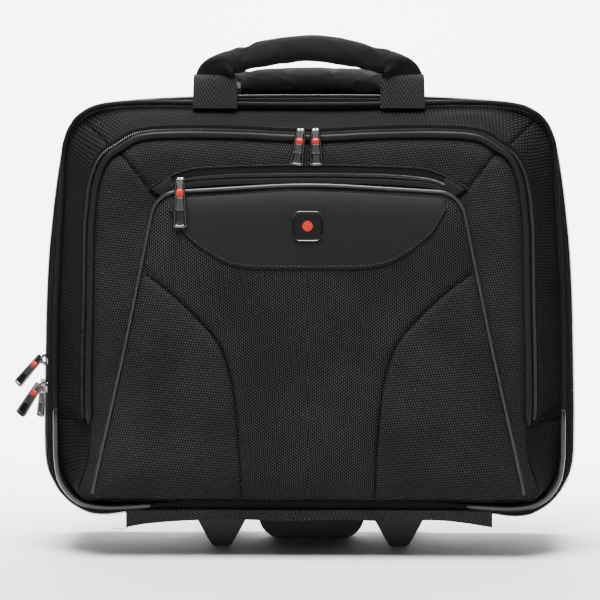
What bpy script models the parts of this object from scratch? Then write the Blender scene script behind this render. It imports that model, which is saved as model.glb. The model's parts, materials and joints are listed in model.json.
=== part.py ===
"""Rolling laptop case with a two-stage trolley handle.

The case stands on its wheel base. Its front faces -Y, +X is to the right of someone who
looks at the front, and +Z is up. The origin is on the floor, at the middle of the centre
foot's rest face. From front to back the case is a lid with a flat pocket, an organiser
section, a laptop section and a deep main section that carries the wheels and the trolley
handle. Each soft section hinges on the one behind it along its bottom edge.
"""

import math

import bmesh
import bpy
from mathutils import Matrix, Vector

# ---------------------------------------------------------------- driving dimensions, metres
MM = 0.001
FIT = 0.3 * MM  # gap between pieces that touch

CASE_BOTTOM, CASE_TOP = 0.038, 0.392
CASE_HALF_WIDTH, CASE_TOP_HALF_WIDTH = 0.225, 0.211
TAPER_STARTS = 0.110
SIDE_LEAN = (CASE_HALF_WIDTH - CASE_TOP_HALF_WIDTH) / (CASE_TOP - TAPER_STARTS)
BOTTOM_RADIUS, TOP_RADIUS = 0.060, 0.047
CORNER_STEPS = 6

LID_BOTTOM, LID_TOP = 0.050, 0.366
LID_HALF_WIDTH, LID_TOP_HALF_WIDTH = 0.195, 0.183
LID_BOTTOM_RADIUS, LID_TOP_RADIUS = 0.014, 0.044

POCKET_LOW, POCKET_FOOT_HALF = 0.053, 0.1815
POCKET_WAIST, POCKET_WAIST_HALF = 0.180, 0.1530
POCKET_SHOULDER, POCKET_SHOULDER_HALF, POCKET_SHOULDER_RADIUS = 0.3083, 0.1263, 0.022
POCKET_TOP = 0.3160
BADGE_THICK = 0.001

# Depth, from the back of the case to the front of its pocket
BACK = 0.045
MAIN_FRONT = -0.063
LAPTOP_FRONT = -0.105
SECTION_EDGE = -0.111
LID_BACK = -0.137
LID_FACE = -0.146
POCKET_FACE = -0.154

WALL = 0.004
BACK_CHAMFER = 0.004
DIVIDER = 0.0056
PIPING_INSET, PIPING_RADIUS, PIPING_Y = 0.006, 0.0032, -0.115
GUARD_RADIUS, GUARD_BORE = 0.0050, 0.0039
GUARD_TOP, GUARD_END = 0.129, 0.135
REAR_GUARD_TOP, REAR_GUARD_END = 0.112, 0.150
COIL_RADIUS = 0.0015
MAIN_ZIP_Y, LAPTOP_ZIP_Y = -0.1015, -0.0600

MAIN_HINGE = Vector((0, -0.105, 0.036))
LAPTOP_HINGE = Vector((0, -0.0636, 0.033))
LID_HINGE = Vector((0, LID_BACK - FIT, LID_BOTTOM))
HINGE_STRIP_HALF = 0.157

BASE_HALF_WIDTH, BASE_LOW, BASE_HIGH = 0.108, 0.029, CASE_BOTTOM - FIT
BASE_BACK = 0.044
FOOT_X, FOOT_THICK, FOOT_TOP_HALF, FOOT_TIP_HALF = 0.0775, 0.008, 0.024, 0.0055
CENTRE_FOOT_HALF, CENTRE_FOOT_DEEP, CENTRE_FOOT_RADIUS = 0.047, 0.022, 0.020

WHEEL_RADIUS, WHEEL_WIDTH, WHEEL_Y = 0.030, 0.018, 0.018
RIM_RADIUS, AXLE_RADIUS = 0.022, 0.004
HOUSING_WIDTH, HOUSING_RADIUS, HOUSING_BORE, HOUSING_LOW = 0.028, 0.035, 0.032, 0.018
CHEEK_GAP = 0.022
WHEEL_STEPS = 28

TUBE_X, TUBE_Y = 0.046, 0.026
TUBE_WALL = 0.001
OUTER_TUBE, MIDDLE_TUBE, INNER_TUBE = (0.022, 0.013), (0.0194, 0.0104), (0.0168, 0.0078)
BRACKET_LOW, BRACKET_HIGH, BRACKET_HALF = CASE_BOTTOM + WALL + FIT, 0.060, 0.061
BEZEL_HALF, BEZEL_DEEP, BEZEL_LOW, BEZEL_FLOOR = 0.070, 0.030, 0.362, 0.365
COLLAR_LOW, COLLAR_HIGH = 0.3656, 0.3696
GRIP_LOW, GRIP_SPLIT, GRIP_HIGH = 0.3702, 0.3740, 0.3915
GRIP_HALF, GRIP_DEEP = 0.063, 0.020
BUTTON_HALF, BUTTON_DEEP = 0.014, 0.010
ROD_RADIUS, ROD_LOW = 0.002, 0.072

HANDLE_ARCH_TOP, HANDLE_ARCH_SAG, GRIP_ARCH_HALF = 0.4345, 0.012, 0.066
STRAP_OUTER, STRAP_INNER, STRAP_THICK = 0.099, 0.061, 0.004
CORE_HALF, PAD_HALF, PAD_DEEP = 0.006, 0.0115, 0.022
STRAP_LOW = 0.3915
FRONT_HANDLE_PIVOT = Vector((0, -0.114, 0.392))
REAR_HANDLE_PIVOT = Vector((0, -0.052, 0.3960))
REAR_HANDLE_LEAN = math.radians(65)

SLIDER_LONG, SLIDER_WIDE, SLIDER_HIGH = 0.0055, 0.0040, 0.006
PULL_WIDTH, PULL_THICK = 0.010, 0.0022
PULL_LENGTH, SHORT_PULL_LENGTH = 0.038, 0.027
PULL_HINGE_HEIGHT = 0.0102

# ---------------------------------------------------------------- materials and collections


def material(name, colour, roughness, metallic=0.0):
    made = bpy.data.materials.new(name)
    made.use_nodes = True
    shader = made.node_tree.nodes["Principled BSDF"]
    shader.inputs["Base Color"].default_value = (*colour, 1.0)
    shader.inputs["Roughness"].default_value = roughness
    shader.inputs["Metallic"].default_value = metallic
    return made


def clear_scene():
    for obj in list(bpy.data.objects):
        bpy.data.objects.remove(obj)


clear_scene()
CASE = bpy.data.collections.new("rolling_laptop_case")
CUTTERS = bpy.data.collections.new("cutters")
bpy.context.scene.collection.children.link(CASE)
bpy.context.scene.collection.children.link(CUTTERS)

NYLON = material("ballistic_nylon", (0.030, 0.031, 0.030), 0.75)
WEBBING = material("webbing", (0.034, 0.035, 0.033), 0.8)
PIPING = material("fabric_piping", (0.020, 0.021, 0.020), 0.7)
LINING = material("lining", (0.10, 0.10, 0.11), 0.8)
BOARD = material("stiffener_board", (0.05, 0.05, 0.05), 0.6)
PLASTIC = material("moulded_plastic", (0.035, 0.037, 0.036), 0.5)
SATIN = material("satin_guard", (0.030, 0.034, 0.036), 0.28)
GUNMETAL = material("gunmetal", (0.30, 0.29, 0.28), 0.25, 1.0)
ALUMINIUM = material("anodised_aluminium", (0.45, 0.46, 0.47), 0.35, 1.0)
STEEL = material("steel", (0.55, 0.55, 0.55), 0.3, 1.0)
COIL = material("zip_coil", (0.025, 0.028, 0.030), 0.45)
TYRE = material("tyre", (0.022, 0.022, 0.022), 0.6)
ENAMEL = material("badge_enamel", (0.45, 0.03, 0.02), 0.3)

# ---------------------------------------------------------------- shape helpers


def register(obj, surface, collection=CASE):
    """Links an object, gives it its material, and leaves it where it is."""
    collection.objects.link(obj)
    obj.data.materials.clear()
    obj.data.materials.append(surface)
    return obj


def new_mesh_object(name, mesh, surface, collection=CASE):
    return register(bpy.data.objects.new(name, mesh), surface, collection)


def as_mesh(obj):
    """Replaces a curve object by its welded mesh, in the same place and under the same name."""
    bpy.context.view_layer.update()
    graph = bpy.context.evaluated_depsgraph_get()
    mesh = bpy.data.meshes.new_from_object(obj.evaluated_get(graph))
    welded = bmesh.new()
    welded.from_mesh(mesh)
    bmesh.ops.remove_doubles(welded, verts=welded.verts, dist=0.01 * MM)
    bmesh.ops.recalc_face_normals(welded, faces=welded.faces)
    welded.to_mesh(mesh)
    welded.free()
    name, matrix, collection = obj.name, obj.matrix_world.copy(), obj.users_collection[0]
    surface = obj.data.materials[0]
    bpy.data.objects.remove(obj)
    made = bpy.data.objects.new(name, mesh)
    made.matrix_world = matrix
    return register(made, surface, collection)


# A slab's outline is drawn across its thickness: on Y for (x, z) points, X for (y, z), Z for (x, y).
SLAB_TURN = {"Y": (math.pi / 2, 0, 0), "X": (math.pi / 2, 0, math.pi / 2), "Z": (0, 0, 0)}


def slab(name, points, low, high, surface, axis="Y", collection=CASE):
    """A flat outline with a thickness from low to high along an axis, as a mesh."""
    curve = bpy.data.curves.new(name, "CURVE")
    curve.dimensions = "2D"
    curve.fill_mode = "BOTH"
    curve.extrude = (high - low) / 2
    spline = curve.splines.new("POLY")
    spline.points.add(len(points) - 1)
    for point, (a, b) in zip(spline.points, points):
        point.co = (a, b, 0, 1)
    spline.use_cyclic_u = True
    obj = register(bpy.data.objects.new(name, curve), surface, collection)
    obj.rotation_euler = SLAB_TURN[axis]
    obj.location["XYZ".index(axis)] = (low + high) / 2
    return as_mesh(obj)


def block(name, low, high, surface, collection=CASE):
    """A box from its lowest to its highest corner."""
    mesh = bpy.data.meshes.new(name)
    shape = bmesh.new()
    bmesh.ops.create_cube(shape, size=1.0)
    size = Vector(high) - Vector(low)
    bmesh.ops.scale(shape, vec=size, verts=shape.verts)
    shape.to_mesh(mesh)
    shape.free()
    obj = new_mesh_object(name, mesh, surface, collection)
    obj.location = (Vector(low) + Vector(high)) / 2
    return obj


def rod(name, centre, radius, length, axis, surface, collection=CASE, sides=24):
    """A round bar, centred, along X, Y or Z."""
    mesh = bpy.data.meshes.new(name)
    shape = bmesh.new()
    bmesh.ops.create_cone(
        shape, cap_ends=True, segments=sides, radius1=radius, radius2=radius, depth=length
    )
    shape.to_mesh(mesh)
    shape.free()
    obj = new_mesh_object(name, mesh, surface, collection)
    obj.location = centre
    obj.rotation_euler = {"X": (0, math.pi / 2, 0), "Y": (math.pi / 2, 0, 0), "Z": (0, 0, 0)}[axis]
    return obj


def loft(name, sections, surface, collection=CASE):
    """A closed body through outlines of (x, z) points, each at its own depth y, front first."""
    shape = bmesh.new()
    rings = [[shape.verts.new((x, y, z)) for x, z in points] for y, points in sections]
    for front, back in zip(rings, rings[1:]):
        for i in range(len(front)):
            j = (i + 1) % len(front)
            shape.faces.new((front[i], front[j], back[j], back[i]))
    shape.faces.new(rings[0])
    shape.faces.new(list(reversed(rings[-1])))
    bmesh.ops.recalc_face_normals(shape, faces=shape.faces)
    mesh = bpy.data.meshes.new(name)
    shape.to_mesh(mesh)
    shape.free()
    return new_mesh_object(name, mesh, surface, collection)


def tube(name, points, radius, surface, cyclic=False, sides=1, collection=CASE):
    """A round cord along points; sides is the bevel resolution, 1 for six sides."""
    curve = bpy.data.curves.new(name, "CURVE")
    curve.dimensions = "3D"
    curve.bevel_depth = radius
    curve.bevel_resolution = sides
    curve.use_fill_caps = not cyclic
    spline = curve.splines.new("POLY")
    spline.points.add(len(points) - 1)
    for point, place in zip(spline.points, points):
        point.co = (*place, 1)
    spline.use_cyclic_u = cyclic
    return as_mesh(register(bpy.data.objects.new(name, curve), surface, collection))


def turned(name, profile, centre, surface):
    """A ring or wheel: (radius, height) points turned about an axle that lies along X."""
    mesh = bpy.data.meshes.new(name)
    shape = bmesh.new()
    ring = [shape.verts.new((radius, 0, height)) for radius, height in profile]
    for a, b in zip(ring, ring[1:] + ring[:1]):
        shape.edges.new((a, b))
    shape.to_mesh(mesh)
    shape.free()
    obj = new_mesh_object(name, mesh, surface)
    screw = obj.modifiers.new("turn", "SCREW")
    screw.steps = screw.render_steps = WHEEL_STEPS
    screw.use_merge_vertices = True
    screw.merge_threshold = 0.01 * MM
    obj.rotation_euler = (0, math.pi / 2, 0)
    obj.location = centre
    return obj


def combine(obj, other, operation):
    modifier = obj.modifiers.new(operation.lower(), "BOOLEAN")
    modifier.operation = operation
    modifier.object = other
    other.hide_render = True
    other.display_type = "WIRE"
    if other.name in CASE.objects:
        CASE.objects.unlink(other)
        CUTTERS.objects.link(other)
    return obj


def cut(obj, *others):
    for other in others:
        combine(obj, other, "DIFFERENCE")
    return obj


def join(obj, *others):
    for other in others:
        combine(obj, other, "UNION")
    return obj


def soften(obj, width, steps=2):
    """Rounds the sharp edges of a finished shape."""
    bevel = obj.modifiers.new("rounded_edges", "BEVEL")
    bevel.width = width
    bevel.segments = steps
    bevel.limit_method = "ANGLE"
    return obj


def pivot(name, place, parent=None):
    """An empty on a joint's axis; the pieces that move with the joint hang from it."""
    empty = bpy.data.objects.new(name, None)
    empty.empty_display_size = 0.02
    CASE.objects.link(empty)
    empty.location = place
    bpy.context.view_layer.update()
    if parent:
        hang(empty, parent)
    return empty


def hang(obj, parent):
    bpy.context.view_layer.update()
    obj.parent = parent
    obj.matrix_parent_inverse = parent.matrix_world.inverted()
    return obj


# ---------------------------------------------------------------- outlines


def rounded(corners, radii, steps=CORNER_STEPS):
    """A polygon's points with each corner rounded to its radius; a radius of 0 keeps the corner."""
    made = []
    for i, (corner, radius) in enumerate(zip(corners, radii)):
        here = Vector(corner)
        if radius <= 0:
            made.append(tuple(here))
            continue
        before = (Vector(corners[i - 1]) - here).normalized()
        after = (Vector(corners[(i + 1) % len(corners)]) - here).normalized()
        half = before.angle(after) / 2
        centre = here + (before + after).normalized() * (radius / math.sin(half))
        start = here + before * (radius / math.tan(half)) - centre
        turn = math.pi - 2 * half
        if before.cross(after) > 0:
            turn = -turn
        for step in range(steps + 1):
            angle = turn * step / steps
            made.append(tuple(centre + Matrix.Rotation(angle, 2) @ start))
    return made


def case_outline(grow=0.0, steps=CORNER_STEPS):
    """The case seen from the front: upright at the foot, narrowing a little to the top."""
    low, high = CASE_HALF_WIDTH + grow, CASE_TOP_HALF_WIDTH + grow
    bottom, top = CASE_BOTTOM - grow, CASE_TOP + grow
    corners = [(-low, bottom), (low, bottom), (low, TAPER_STARTS)]
    corners += [(high, top), (-high, top), (-low, TAPER_STARTS)]
    foot, head = BOTTOM_RADIUS + grow, TOP_RADIUS + grow
    return rounded(corners, [foot, foot, 0, head, head, 0], steps)


def lid_outline(grow=0.0, top_grow=None):
    low, high = LID_HALF_WIDTH + grow, LID_TOP_HALF_WIDTH + grow
    bottom, top = LID_BOTTOM - max(grow, 0), LID_TOP + (grow if top_grow is None else top_grow)
    middle = (LID_BOTTOM + LID_TOP) / 2
    waist = (low + high) / 2
    corners = [(-low, bottom), (low, bottom), (waist, middle)]
    corners += [(high, top), (-high, top), (-waist, middle)]
    foot, head = LID_BOTTOM_RADIUS, LID_TOP_RADIUS + grow
    return rounded(corners, [foot, foot, 0, head, head, 0])


def section_edge(grow=0.0):
    """The case outline with the lid outline's number of points, for the loft between them."""
    return case_outline(grow)


def pocket_outline(grow=0.0):
    """The flat front pocket: arched top, round shoulders, and sides that flare to the foot."""
    rise = max(grow, -0.01)
    half = [
        (POCKET_FOOT_HALF + grow, POCKET_LOW),
        (POCKET_WAIST_HALF + grow, POCKET_WAIST),
        (POCKET_SHOULDER_HALF + grow, POCKET_SHOULDER + rise),
    ]
    corners = half + [(0, POCKET_TOP + rise)] + [(-x, z) for x, z in reversed(half)]
    waist, shoulder = 0.25, POCKET_SHOULDER_RADIUS + grow
    return rounded(corners, [0, waist, shoulder, 0.6, shoulder, waist, 0], 4)


def corner_path(side, grow, top, end, steps=CORNER_STEPS):
    """Points round one bottom corner of the case, from a height on its side to the bottom."""
    x, z = CASE_HALF_WIDTH + grow, CASE_BOTTOM - grow
    radius = BOTTOM_RADIUS + grow
    made = [(side * (x - (top - TAPER_STARTS) * SIDE_LEAN), top), (side * x, TAPER_STARTS)]
    for step in range(steps + 1):
        angle = math.pi / 2 * step / steps
        across = x - radius + radius * math.cos(angle)
        made.append((side * across, z + radius - radius * math.sin(angle)))
    made.append((side * end, z))
    return made


# ---------------------------------------------------------------- main section, the root


def main_shell():
    shell = loft(
        "rear_shell",
        [
            (MAIN_FRONT, case_outline()),
            (BACK - BACK_CHAMFER, case_outline()),
            (BACK, case_outline(-BACK_CHAMFER)),
        ],
        NYLON,
    )
    inside = loft(
        "rear_inside",
        [
            (MAIN_FRONT - 0.01, case_outline(-WALL)),
            (BACK - BACK_CHAMFER - WALL, case_outline(-WALL)),
            (BACK - WALL, case_outline(-WALL - BACK_CHAMFER)),
        ],
        LINING,
        CUTTERS,
    )
    slot_half, slot_low = BEZEL_HALF + 0.4 * MM, TUBE_Y - BEZEL_DEEP / 2 - 1.4 * MM
    slot = block(
        "bezel_slot",
        (-slot_half, slot_low, 0.380),
        (slot_half, slot_low + BEZEL_DEEP + 0.8 * MM, 0.400),
        LINING,
        CUTTERS,
    )
    cut(shell, inside, slot)
    for side in (-1, 1):
        cut(shell, wheel_well(f"shell_well_{side}", side, 0.5 * MM, 0.02))
    return shell


def housing_profile(radius, low):
    """A wheel housing from the side: round over the wheel, straight down to its lower edge."""
    steps = 14
    made = []
    for step in range(steps + 1):
        angle = math.pi * step / steps
        made.append((WHEEL_Y + radius * math.cos(angle), WHEEL_RADIUS + radius * math.sin(angle)))
    return made + [(WHEEL_Y - radius, low), (WHEEL_Y + radius, low)]


def wheel_well(name, side, gap, low):
    half = HOUSING_WIDTH / 2 + gap
    centre = side * FOOT_X
    profile = housing_profile(HOUSING_RADIUS + gap, low)
    return slab(name, profile, centre - half, centre + half, LINING, "X", CUTTERS)


def back_board():
    edge = rounded([(-0.19, 0.070), (0.19, 0.070), (0.19, 0.352), (-0.19, 0.352)], [0.02] * 4, 3)
    return slab("back_board", edge, 0.0375, 0.0405, BOARD)


def tube_cover():
    """The stiff channel that hides the trolley tubes inside the main section."""
    cover = block("tube_cover", (-0.066, 0.013, 0.070), (0.066, 0.0372, 0.358), BOARD)
    inside = block("tube_cover_inside", (-0.0638, 0.0152, 0.06), (0.0638, 0.05, 0.37), LINING, CUTTERS)
    return cut(cover, inside)


def wheel_base():
    half, front = BASE_HALF_WIDTH, MAIN_FRONT + FIT
    corners = [(-half, front), (half, front), (half, BASE_BACK), (-half, BASE_BACK)]
    base = slab("wheel_base", rounded(corners, [0.010] * 4, 3), BASE_LOW, BASE_HIGH, PLASTIC, "Z")
    for side in (-1, 1):
        cut(base, wheel_well(f"base_well_{side}", side, FIT, 0.01))
    return base


def front_foot(name, side):
    """A wedge-shaped front foot with a web behind it, screwed under the wheel base."""
    x, top, front = side * FOOT_X, BASE_LOW - FIT, MAIN_FRONT + FIT
    half = [(FOOT_TIP_HALF, 0), (0.0085, 0.0014), (0.0119, 0.0066), (0.0166, 0.0151), (FOOT_TOP_HALF, top)]
    outline = [(x + a, z) for a, z in half] + [(x - a, z) for a, z in reversed(half)]
    foot = slab(name, outline, front, front + FOOT_THICK, PLASTIC)
    web = [(front + 0.004, 0.006), (front + 0.004, top), (front + 0.036, top), (front + 0.012, 0.006)]
    return join(foot, slab(f"{name}_web", web, x - 0.003, x + 0.003, PLASTIC, "X", CUTTERS))


def centre_foot():
    half, top = CENTRE_FOOT_HALF, BASE_LOW - FIT
    corners = [(-half, 0), (half, 0), (half, top), (-half, top)]
    radius = CENTRE_FOOT_RADIUS
    outline = rounded(corners, [radius, radius, 0, 0])
    foot = slab("centre_foot", outline, -CENTRE_FOOT_DEEP / 2, CENTRE_FOOT_DEEP / 2, PLASTIC)
    return soften(foot, 0.003)


def wheel_housing(name, side):
    centre, half = side * FOOT_X, HOUSING_WIDTH / 2
    profile = housing_profile(HOUSING_RADIUS, HOUSING_LOW)
    housing = slab(name, profile, centre - half, centre + half, PLASTIC, "X")
    gap = CHEEK_GAP / 2
    hollow = housing_profile(HOUSING_BORE, -0.01)
    inside = slab(f"{name}_inside", hollow, centre - gap, centre + gap, PLASTIC, "X", CUTTERS)
    place = (centre, WHEEL_Y, WHEEL_RADIUS)
    bore = rod(f"{name}_bore", place, AXLE_RADIUS + FIT, 0.04, "X", STEEL, CUTTERS)
    return cut(housing, inside, bore)


def wheel(prefix, side):
    """Tyre, hub and axle of one wheel. The tyre and hub turn on the axle."""
    centre = (side * FOOT_X, WHEEL_Y, WHEEL_RADIUS)
    half, lip = WHEEL_WIDTH / 2, 0.003
    grip, rim = WHEEL_RADIUS, RIM_RADIUS + FIT
    tread = [(grip, half - lip), (grip, lip - half), (grip - lip, -half), (rim, -half)]
    tread += [(rim, half), (grip - lip, half)]
    tyre = turned(f"{prefix}_tyre", tread, centre, TYRE)
    bore, boss, web = AXLE_RADIUS + FIT, 0.008, 0.003
    hub_half = half - 0.0005
    disc = [(RIM_RADIUS, hub_half), (RIM_RADIUS, -hub_half), (RIM_RADIUS - 0.003, -hub_half)]
    disc += [(RIM_RADIUS - 0.005, -web), (boss + 0.002, -web), (boss, -hub_half), (bore, -hub_half)]
    disc += [(bore, hub_half), (boss, hub_half), (boss + 0.002, web), (RIM_RADIUS - 0.005, web)]
    disc += [(RIM_RADIUS - 0.003, hub_half)]
    hub = turned(f"{prefix}_hub", disc, centre, PLASTIC)
    axle = rod(f"axle_{prefix[6:]}", centre, AXLE_RADIUS, HOUSING_WIDTH, "X", STEEL)
    return tyre, hub, axle


def rear_guard(name, side):
    """A moulded guard round one bottom corner of the main section."""
    inner = corner_path(side, FIT, REAR_GUARD_TOP, REAR_GUARD_END)
    outer = corner_path(side, 0.0028, REAR_GUARD_TOP, REAR_GUARD_END)
    return slab(name, inner + list(reversed(outer)), LAPTOP_ZIP_Y + 0.004, BACK - 0.006, PLASTIC)


def perimeter_zip(name, y):
    """A closed zip coil down both sides and over the top of the case, open along its foot."""
    grow = FIT + COIL_RADIUS
    points = case_outline(grow)
    lowest = min(z for _, z in points)
    start = next(i for i, (x, z) in enumerate(points) if x > 0 and z <= lowest + 0.01 * MM)
    ring = points[start:] + points[:start]
    route = [(0.157, ring[0][1])] + ring[0:] + [(-0.157, ring[0][1])]
    route = [p for i, p in enumerate(route) if i == 0 or math.dist(p, route[i - 1]) > 0.5 * MM]
    return tube(name, [(x, y, z) for x, z in route], COIL_RADIUS, COIL, sides=0)


# ---------------------------------------------------------------- trolley handle


def rect_tube(name, side, size, low, high, surface):
    """A flat-sided tube with rounded corners, standing upright."""
    x = side * TUBE_X

    def section(width, deep, radius):
        a, b = width / 2, deep / 2
        corners = [(x - a, TUBE_Y - b), (x + a, TUBE_Y - b), (x + a, TUBE_Y + b), (x - a, TUBE_Y + b)]
        return rounded(corners, [radius] * 4, 2)

    outside = slab(name, section(*size, 0.0025), low, high, surface, "Z")
    bore = section(size[0] - 2 * TUBE_WALL, size[1] - 2 * TUBE_WALL, 0.0015)
    return cut(outside, slab(f"{name}_bore", bore, low - 0.01, high + 0.01, surface, "Z", CUTTERS))


def tube_holes(name, size, low, high):
    """Two upright cutters, one at each tube, a fit's gap wider than the tube."""
    made = []
    for side in (-1, 1):
        a, b = size[0] / 2 + FIT, size[1] / 2 + FIT
        x = side * TUBE_X
        made.append(
            block(f"{name}_{side}", (x - a, TUBE_Y - b, low), (x + a, TUBE_Y + b, high), LINING, CUTTERS)
        )
    return made


def lower_bracket():
    """The moulded block that holds the feet of both fixed tubes."""
    half, deep = BRACKET_HALF, 0.011
    low, high = (-half, TUBE_Y - deep, BRACKET_LOW), (half, TUBE_Y + deep, BRACKET_HIGH)
    bracket = block("lower_bracket", low, high, PLASTIC)
    return cut(bracket, *tube_holes("bracket_socket", OUTER_TUBE, BRACKET_LOW + 0.003, 0.08))


def handle_bezel():
    """The cup in the top of the case that the trolley grip drops into."""
    half, deep = BEZEL_HALF, BEZEL_DEEP / 2
    y = TUBE_Y - 0.001
    cup = block("handle_bezel", (-half, y - deep, BEZEL_LOW), (half, y + deep, CASE_TOP + 0.001), PLASTIC)
    rim = 0.003
    low = (-half - rim, y - deep - 0.002, CASE_TOP + FIT)
    flange = block("bezel_flange", low, (half + rim, y + deep + 0.001, CASE_TOP + 0.0022), PLASTIC)
    join(cup, flange)
    wall = 0.0025
    low = (-half + wall, y - deep + wall, BEZEL_FLOOR)
    hollow = block("bezel_hollow", low, (half - wall, y + deep - wall, 0.41), PLASTIC, CUTTERS)
    return cut(cup, hollow, *tube_holes("bezel_hole", OUTER_TUBE, 0.35, 0.38))


def middle_collar():
    low, high = (-0.060, TUBE_Y - 0.010, COLLAR_LOW), (0.060, TUBE_Y + 0.010, COLLAR_HIGH)
    collar = block("middle_collar", low, high, PLASTIC)
    return cut(collar, *tube_holes("collar_hole", MIDDLE_TUBE, 0.35, 0.38))


def trolley_grip():
    half, deep = GRIP_HALF, GRIP_DEEP / 2
    corners = [
        (-half, TUBE_Y - deep),
        (half, TUBE_Y - deep),
        (half, TUBE_Y + deep),
        (-half, TUBE_Y + deep),
    ]
    edge = rounded(corners, [0.006] * 4, 3)
    base = slab("grip_base", edge, GRIP_LOW, GRIP_SPLIT, PLASTIC, "Z")
    cut(base, *tube_holes("grip_hole", INNER_TUBE, 0.35, 0.38))
    cover = slab("grip_cover", edge, GRIP_SPLIT + FIT, GRIP_HIGH, PLASTIC, "Z")
    wall = 0.002
    inside = block(
        "grip_inside",
        (-half + 0.004, TUBE_Y - deep + wall, GRIP_SPLIT - 0.01),
        (half - 0.004, TUBE_Y + deep - wall, GRIP_HIGH - wall),
        PLASTIC,
        CUTTERS,
    )
    a, b = BUTTON_HALF + 0.5 * MM, BUTTON_DEEP / 2 + 0.5 * MM
    low, high = (-a, TUBE_Y - b, 0.385), (a, TUBE_Y + b, 0.40)
    cut(cover, inside, block("button_hole", low, high, PLASTIC, CUTTERS))
    return base, cover


def release():
    """The push button, and the yoke and two push rods that carry its stroke down the tubes."""
    a, b = BUTTON_HALF, BUTTON_DEEP / 2
    low, high = (-a, TUBE_Y - b, 0.3818), (a, TUBE_Y + b, GRIP_HIGH + 0.0013)
    button = soften(block("release_button", low, high, PLASTIC), 0.001, 1)
    yoke_low, yoke_high = 0.3780, 0.3815
    low, high = (-0.052, TUBE_Y - 0.0035, yoke_low), (0.052, TUBE_Y + 0.0035, yoke_high)
    yoke = block("release_yoke", low, high, STEEL)
    length = yoke_low + 0.002 - ROD_LOW
    for side in (-1, 1):
        place = (side * TUBE_X, TUBE_Y, ROD_LOW + length / 2)
        join(yoke, rod(f"push_rod_{side}", place, ROD_RADIUS, length, "Z", STEEL, CUTTERS, 10))
    return button, yoke


# ---------------------------------------------------------------- carry handles


def arch_height(x):
    """Height of a carry handle's middle line, an arc through its top and its grip's ends."""
    radius = (GRIP_ARCH_HALF**2 + HANDLE_ARCH_SAG**2) / (2 * HANDLE_ARCH_SAG)
    return HANDLE_ARCH_TOP - radius + math.sqrt(radius**2 - x**2)


def arch_band(half_width, half_height, steps=10):
    xs = [-half_width + 2 * half_width * i / steps for i in range(steps + 1)]
    above = [(x, arch_height(x) + half_height) for x in xs]
    return [(x, arch_height(x) - half_height) for x in xs] + list(reversed(above))


def carry_handle(prefix, hinge):
    """A webbing strap with two flat legs, and the padded sleeve round its middle."""
    y, raised = hinge.y, hinge.z - FRONT_HANDLE_PIVOT.z
    core = arch_band(0.070, CORE_HALF)
    under, over = core[:11], core[11:]
    leg = [(0.077, 0.4085), (STRAP_INNER, 0.4040), (STRAP_INNER, STRAP_LOW)]
    outside = [(STRAP_OUTER, STRAP_LOW), (0.0975, 0.4090), (0.0900, 0.4230), (0.0790, 0.4275)]
    right = leg + outside
    left = [(-x, z) for x, z in reversed(right)]
    half = STRAP_THICK / 2
    strap = slab(f"{prefix}_strap", left + under + right + over, y - half, y + half, WEBBING)
    sleeve = arch_band(GRIP_ARCH_HALF, PAD_HALF)
    grip = slab(f"{prefix}_grip", sleeve, y - PAD_DEEP / 2, y + PAD_DEEP / 2, WEBBING)
    soften(grip, 0.005)
    channel = arch_band(0.080, CORE_HALF + FIT)
    gap = half + FIT
    passage = slab(f"{prefix}_channel", channel, y - gap, y + gap, WEBBING, "Y", CUTTERS)
    cut(grip, passage)
    for piece in (strap, grip, passage):
        piece.location.z += raised
    return strap, grip, passage


# ---------------------------------------------------------------- laptop section


def laptop_shell():
    shell = loft(
        "laptop_shell",
        [(LAPTOP_FRONT, case_outline()), (MAIN_FRONT - 0.4 * MM, case_outline())],
        NYLON,
    )
    inner = case_outline(-WALL)
    back = MAIN_FRONT - DIVIDER
    inside = loft("laptop_inside", [(LAPTOP_FRONT - 0.01, inner), (back, inner)], LINING, CUTTERS)
    return cut(shell, inside)


def laptop_strap():
    edge = rounded([(-0.019, 0.20), (0.019, 0.20), (0.019, 0.37), (-0.019, 0.37)], [0.006] * 4, 3)
    back = MAIN_FRONT - DIVIDER - FIT
    return slab("laptop_strap", edge, back - 0.0022, back, WEBBING)


def hinge_strip():
    half, front, back = HINGE_STRIP_HALF, -0.104, -0.066
    corners = [(-half, front), (half, front), (half, back), (-half, back)]
    return slab("hinge_strip", corners, 0.0336, CASE_BOTTOM - FIT, NYLON, "Z")


# ---------------------------------------------------------------- organiser section


def front_shell():
    """A shallow tray whose sides slope forward from the case outline to the lid's."""
    shell = loft(
        "front_shell",
        [
            (LID_BACK, lid_outline()),
            (SECTION_EDGE, section_edge(-0.012)),
            (SECTION_EDGE + 0.002, section_edge(-0.004)),
            (LAPTOP_FRONT - FIT, section_edge(-0.001)),
        ],
        NYLON,
    )
    floor = LAPTOP_FRONT - FIT - WALL - 0.001
    inside = loft(
        "front_inside",
        [
            (LID_BACK - 0.01, lid_outline(-0.0035, -0.0035)),
            (LID_BACK, lid_outline(-0.0035, -0.0035)),
            (floor, section_edge(-0.016)),
        ],
        LINING,
        CUTTERS,
    )
    for point in inside.data.vertices:
        if point.co.z < LID_BOTTOM + 0.0035:
            point.co.z = LID_BOTTOM + 0.0035
    return cut(shell, inside)


def organiser_panel():
    corners = [(-0.160, 0.060), (0.160, 0.060), (0.160, 0.250), (-0.160, 0.250)]
    back = LAPTOP_FRONT - FIT - WALL - 0.0013
    panel = slab("organiser_panel", rounded(corners, [0.01] * 4, 3), back - 0.002, back, LINING)
    for i, x in enumerate((-0.106, 0.0, 0.106)):
        low, high = (x - 0.048, back - 0.0045, 0.066), (x + 0.048, back - 0.001, 0.160 + 0.02 * i)
        join(panel, block(f"card_pocket_{i}", low, high, LINING))
    return panel


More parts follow.
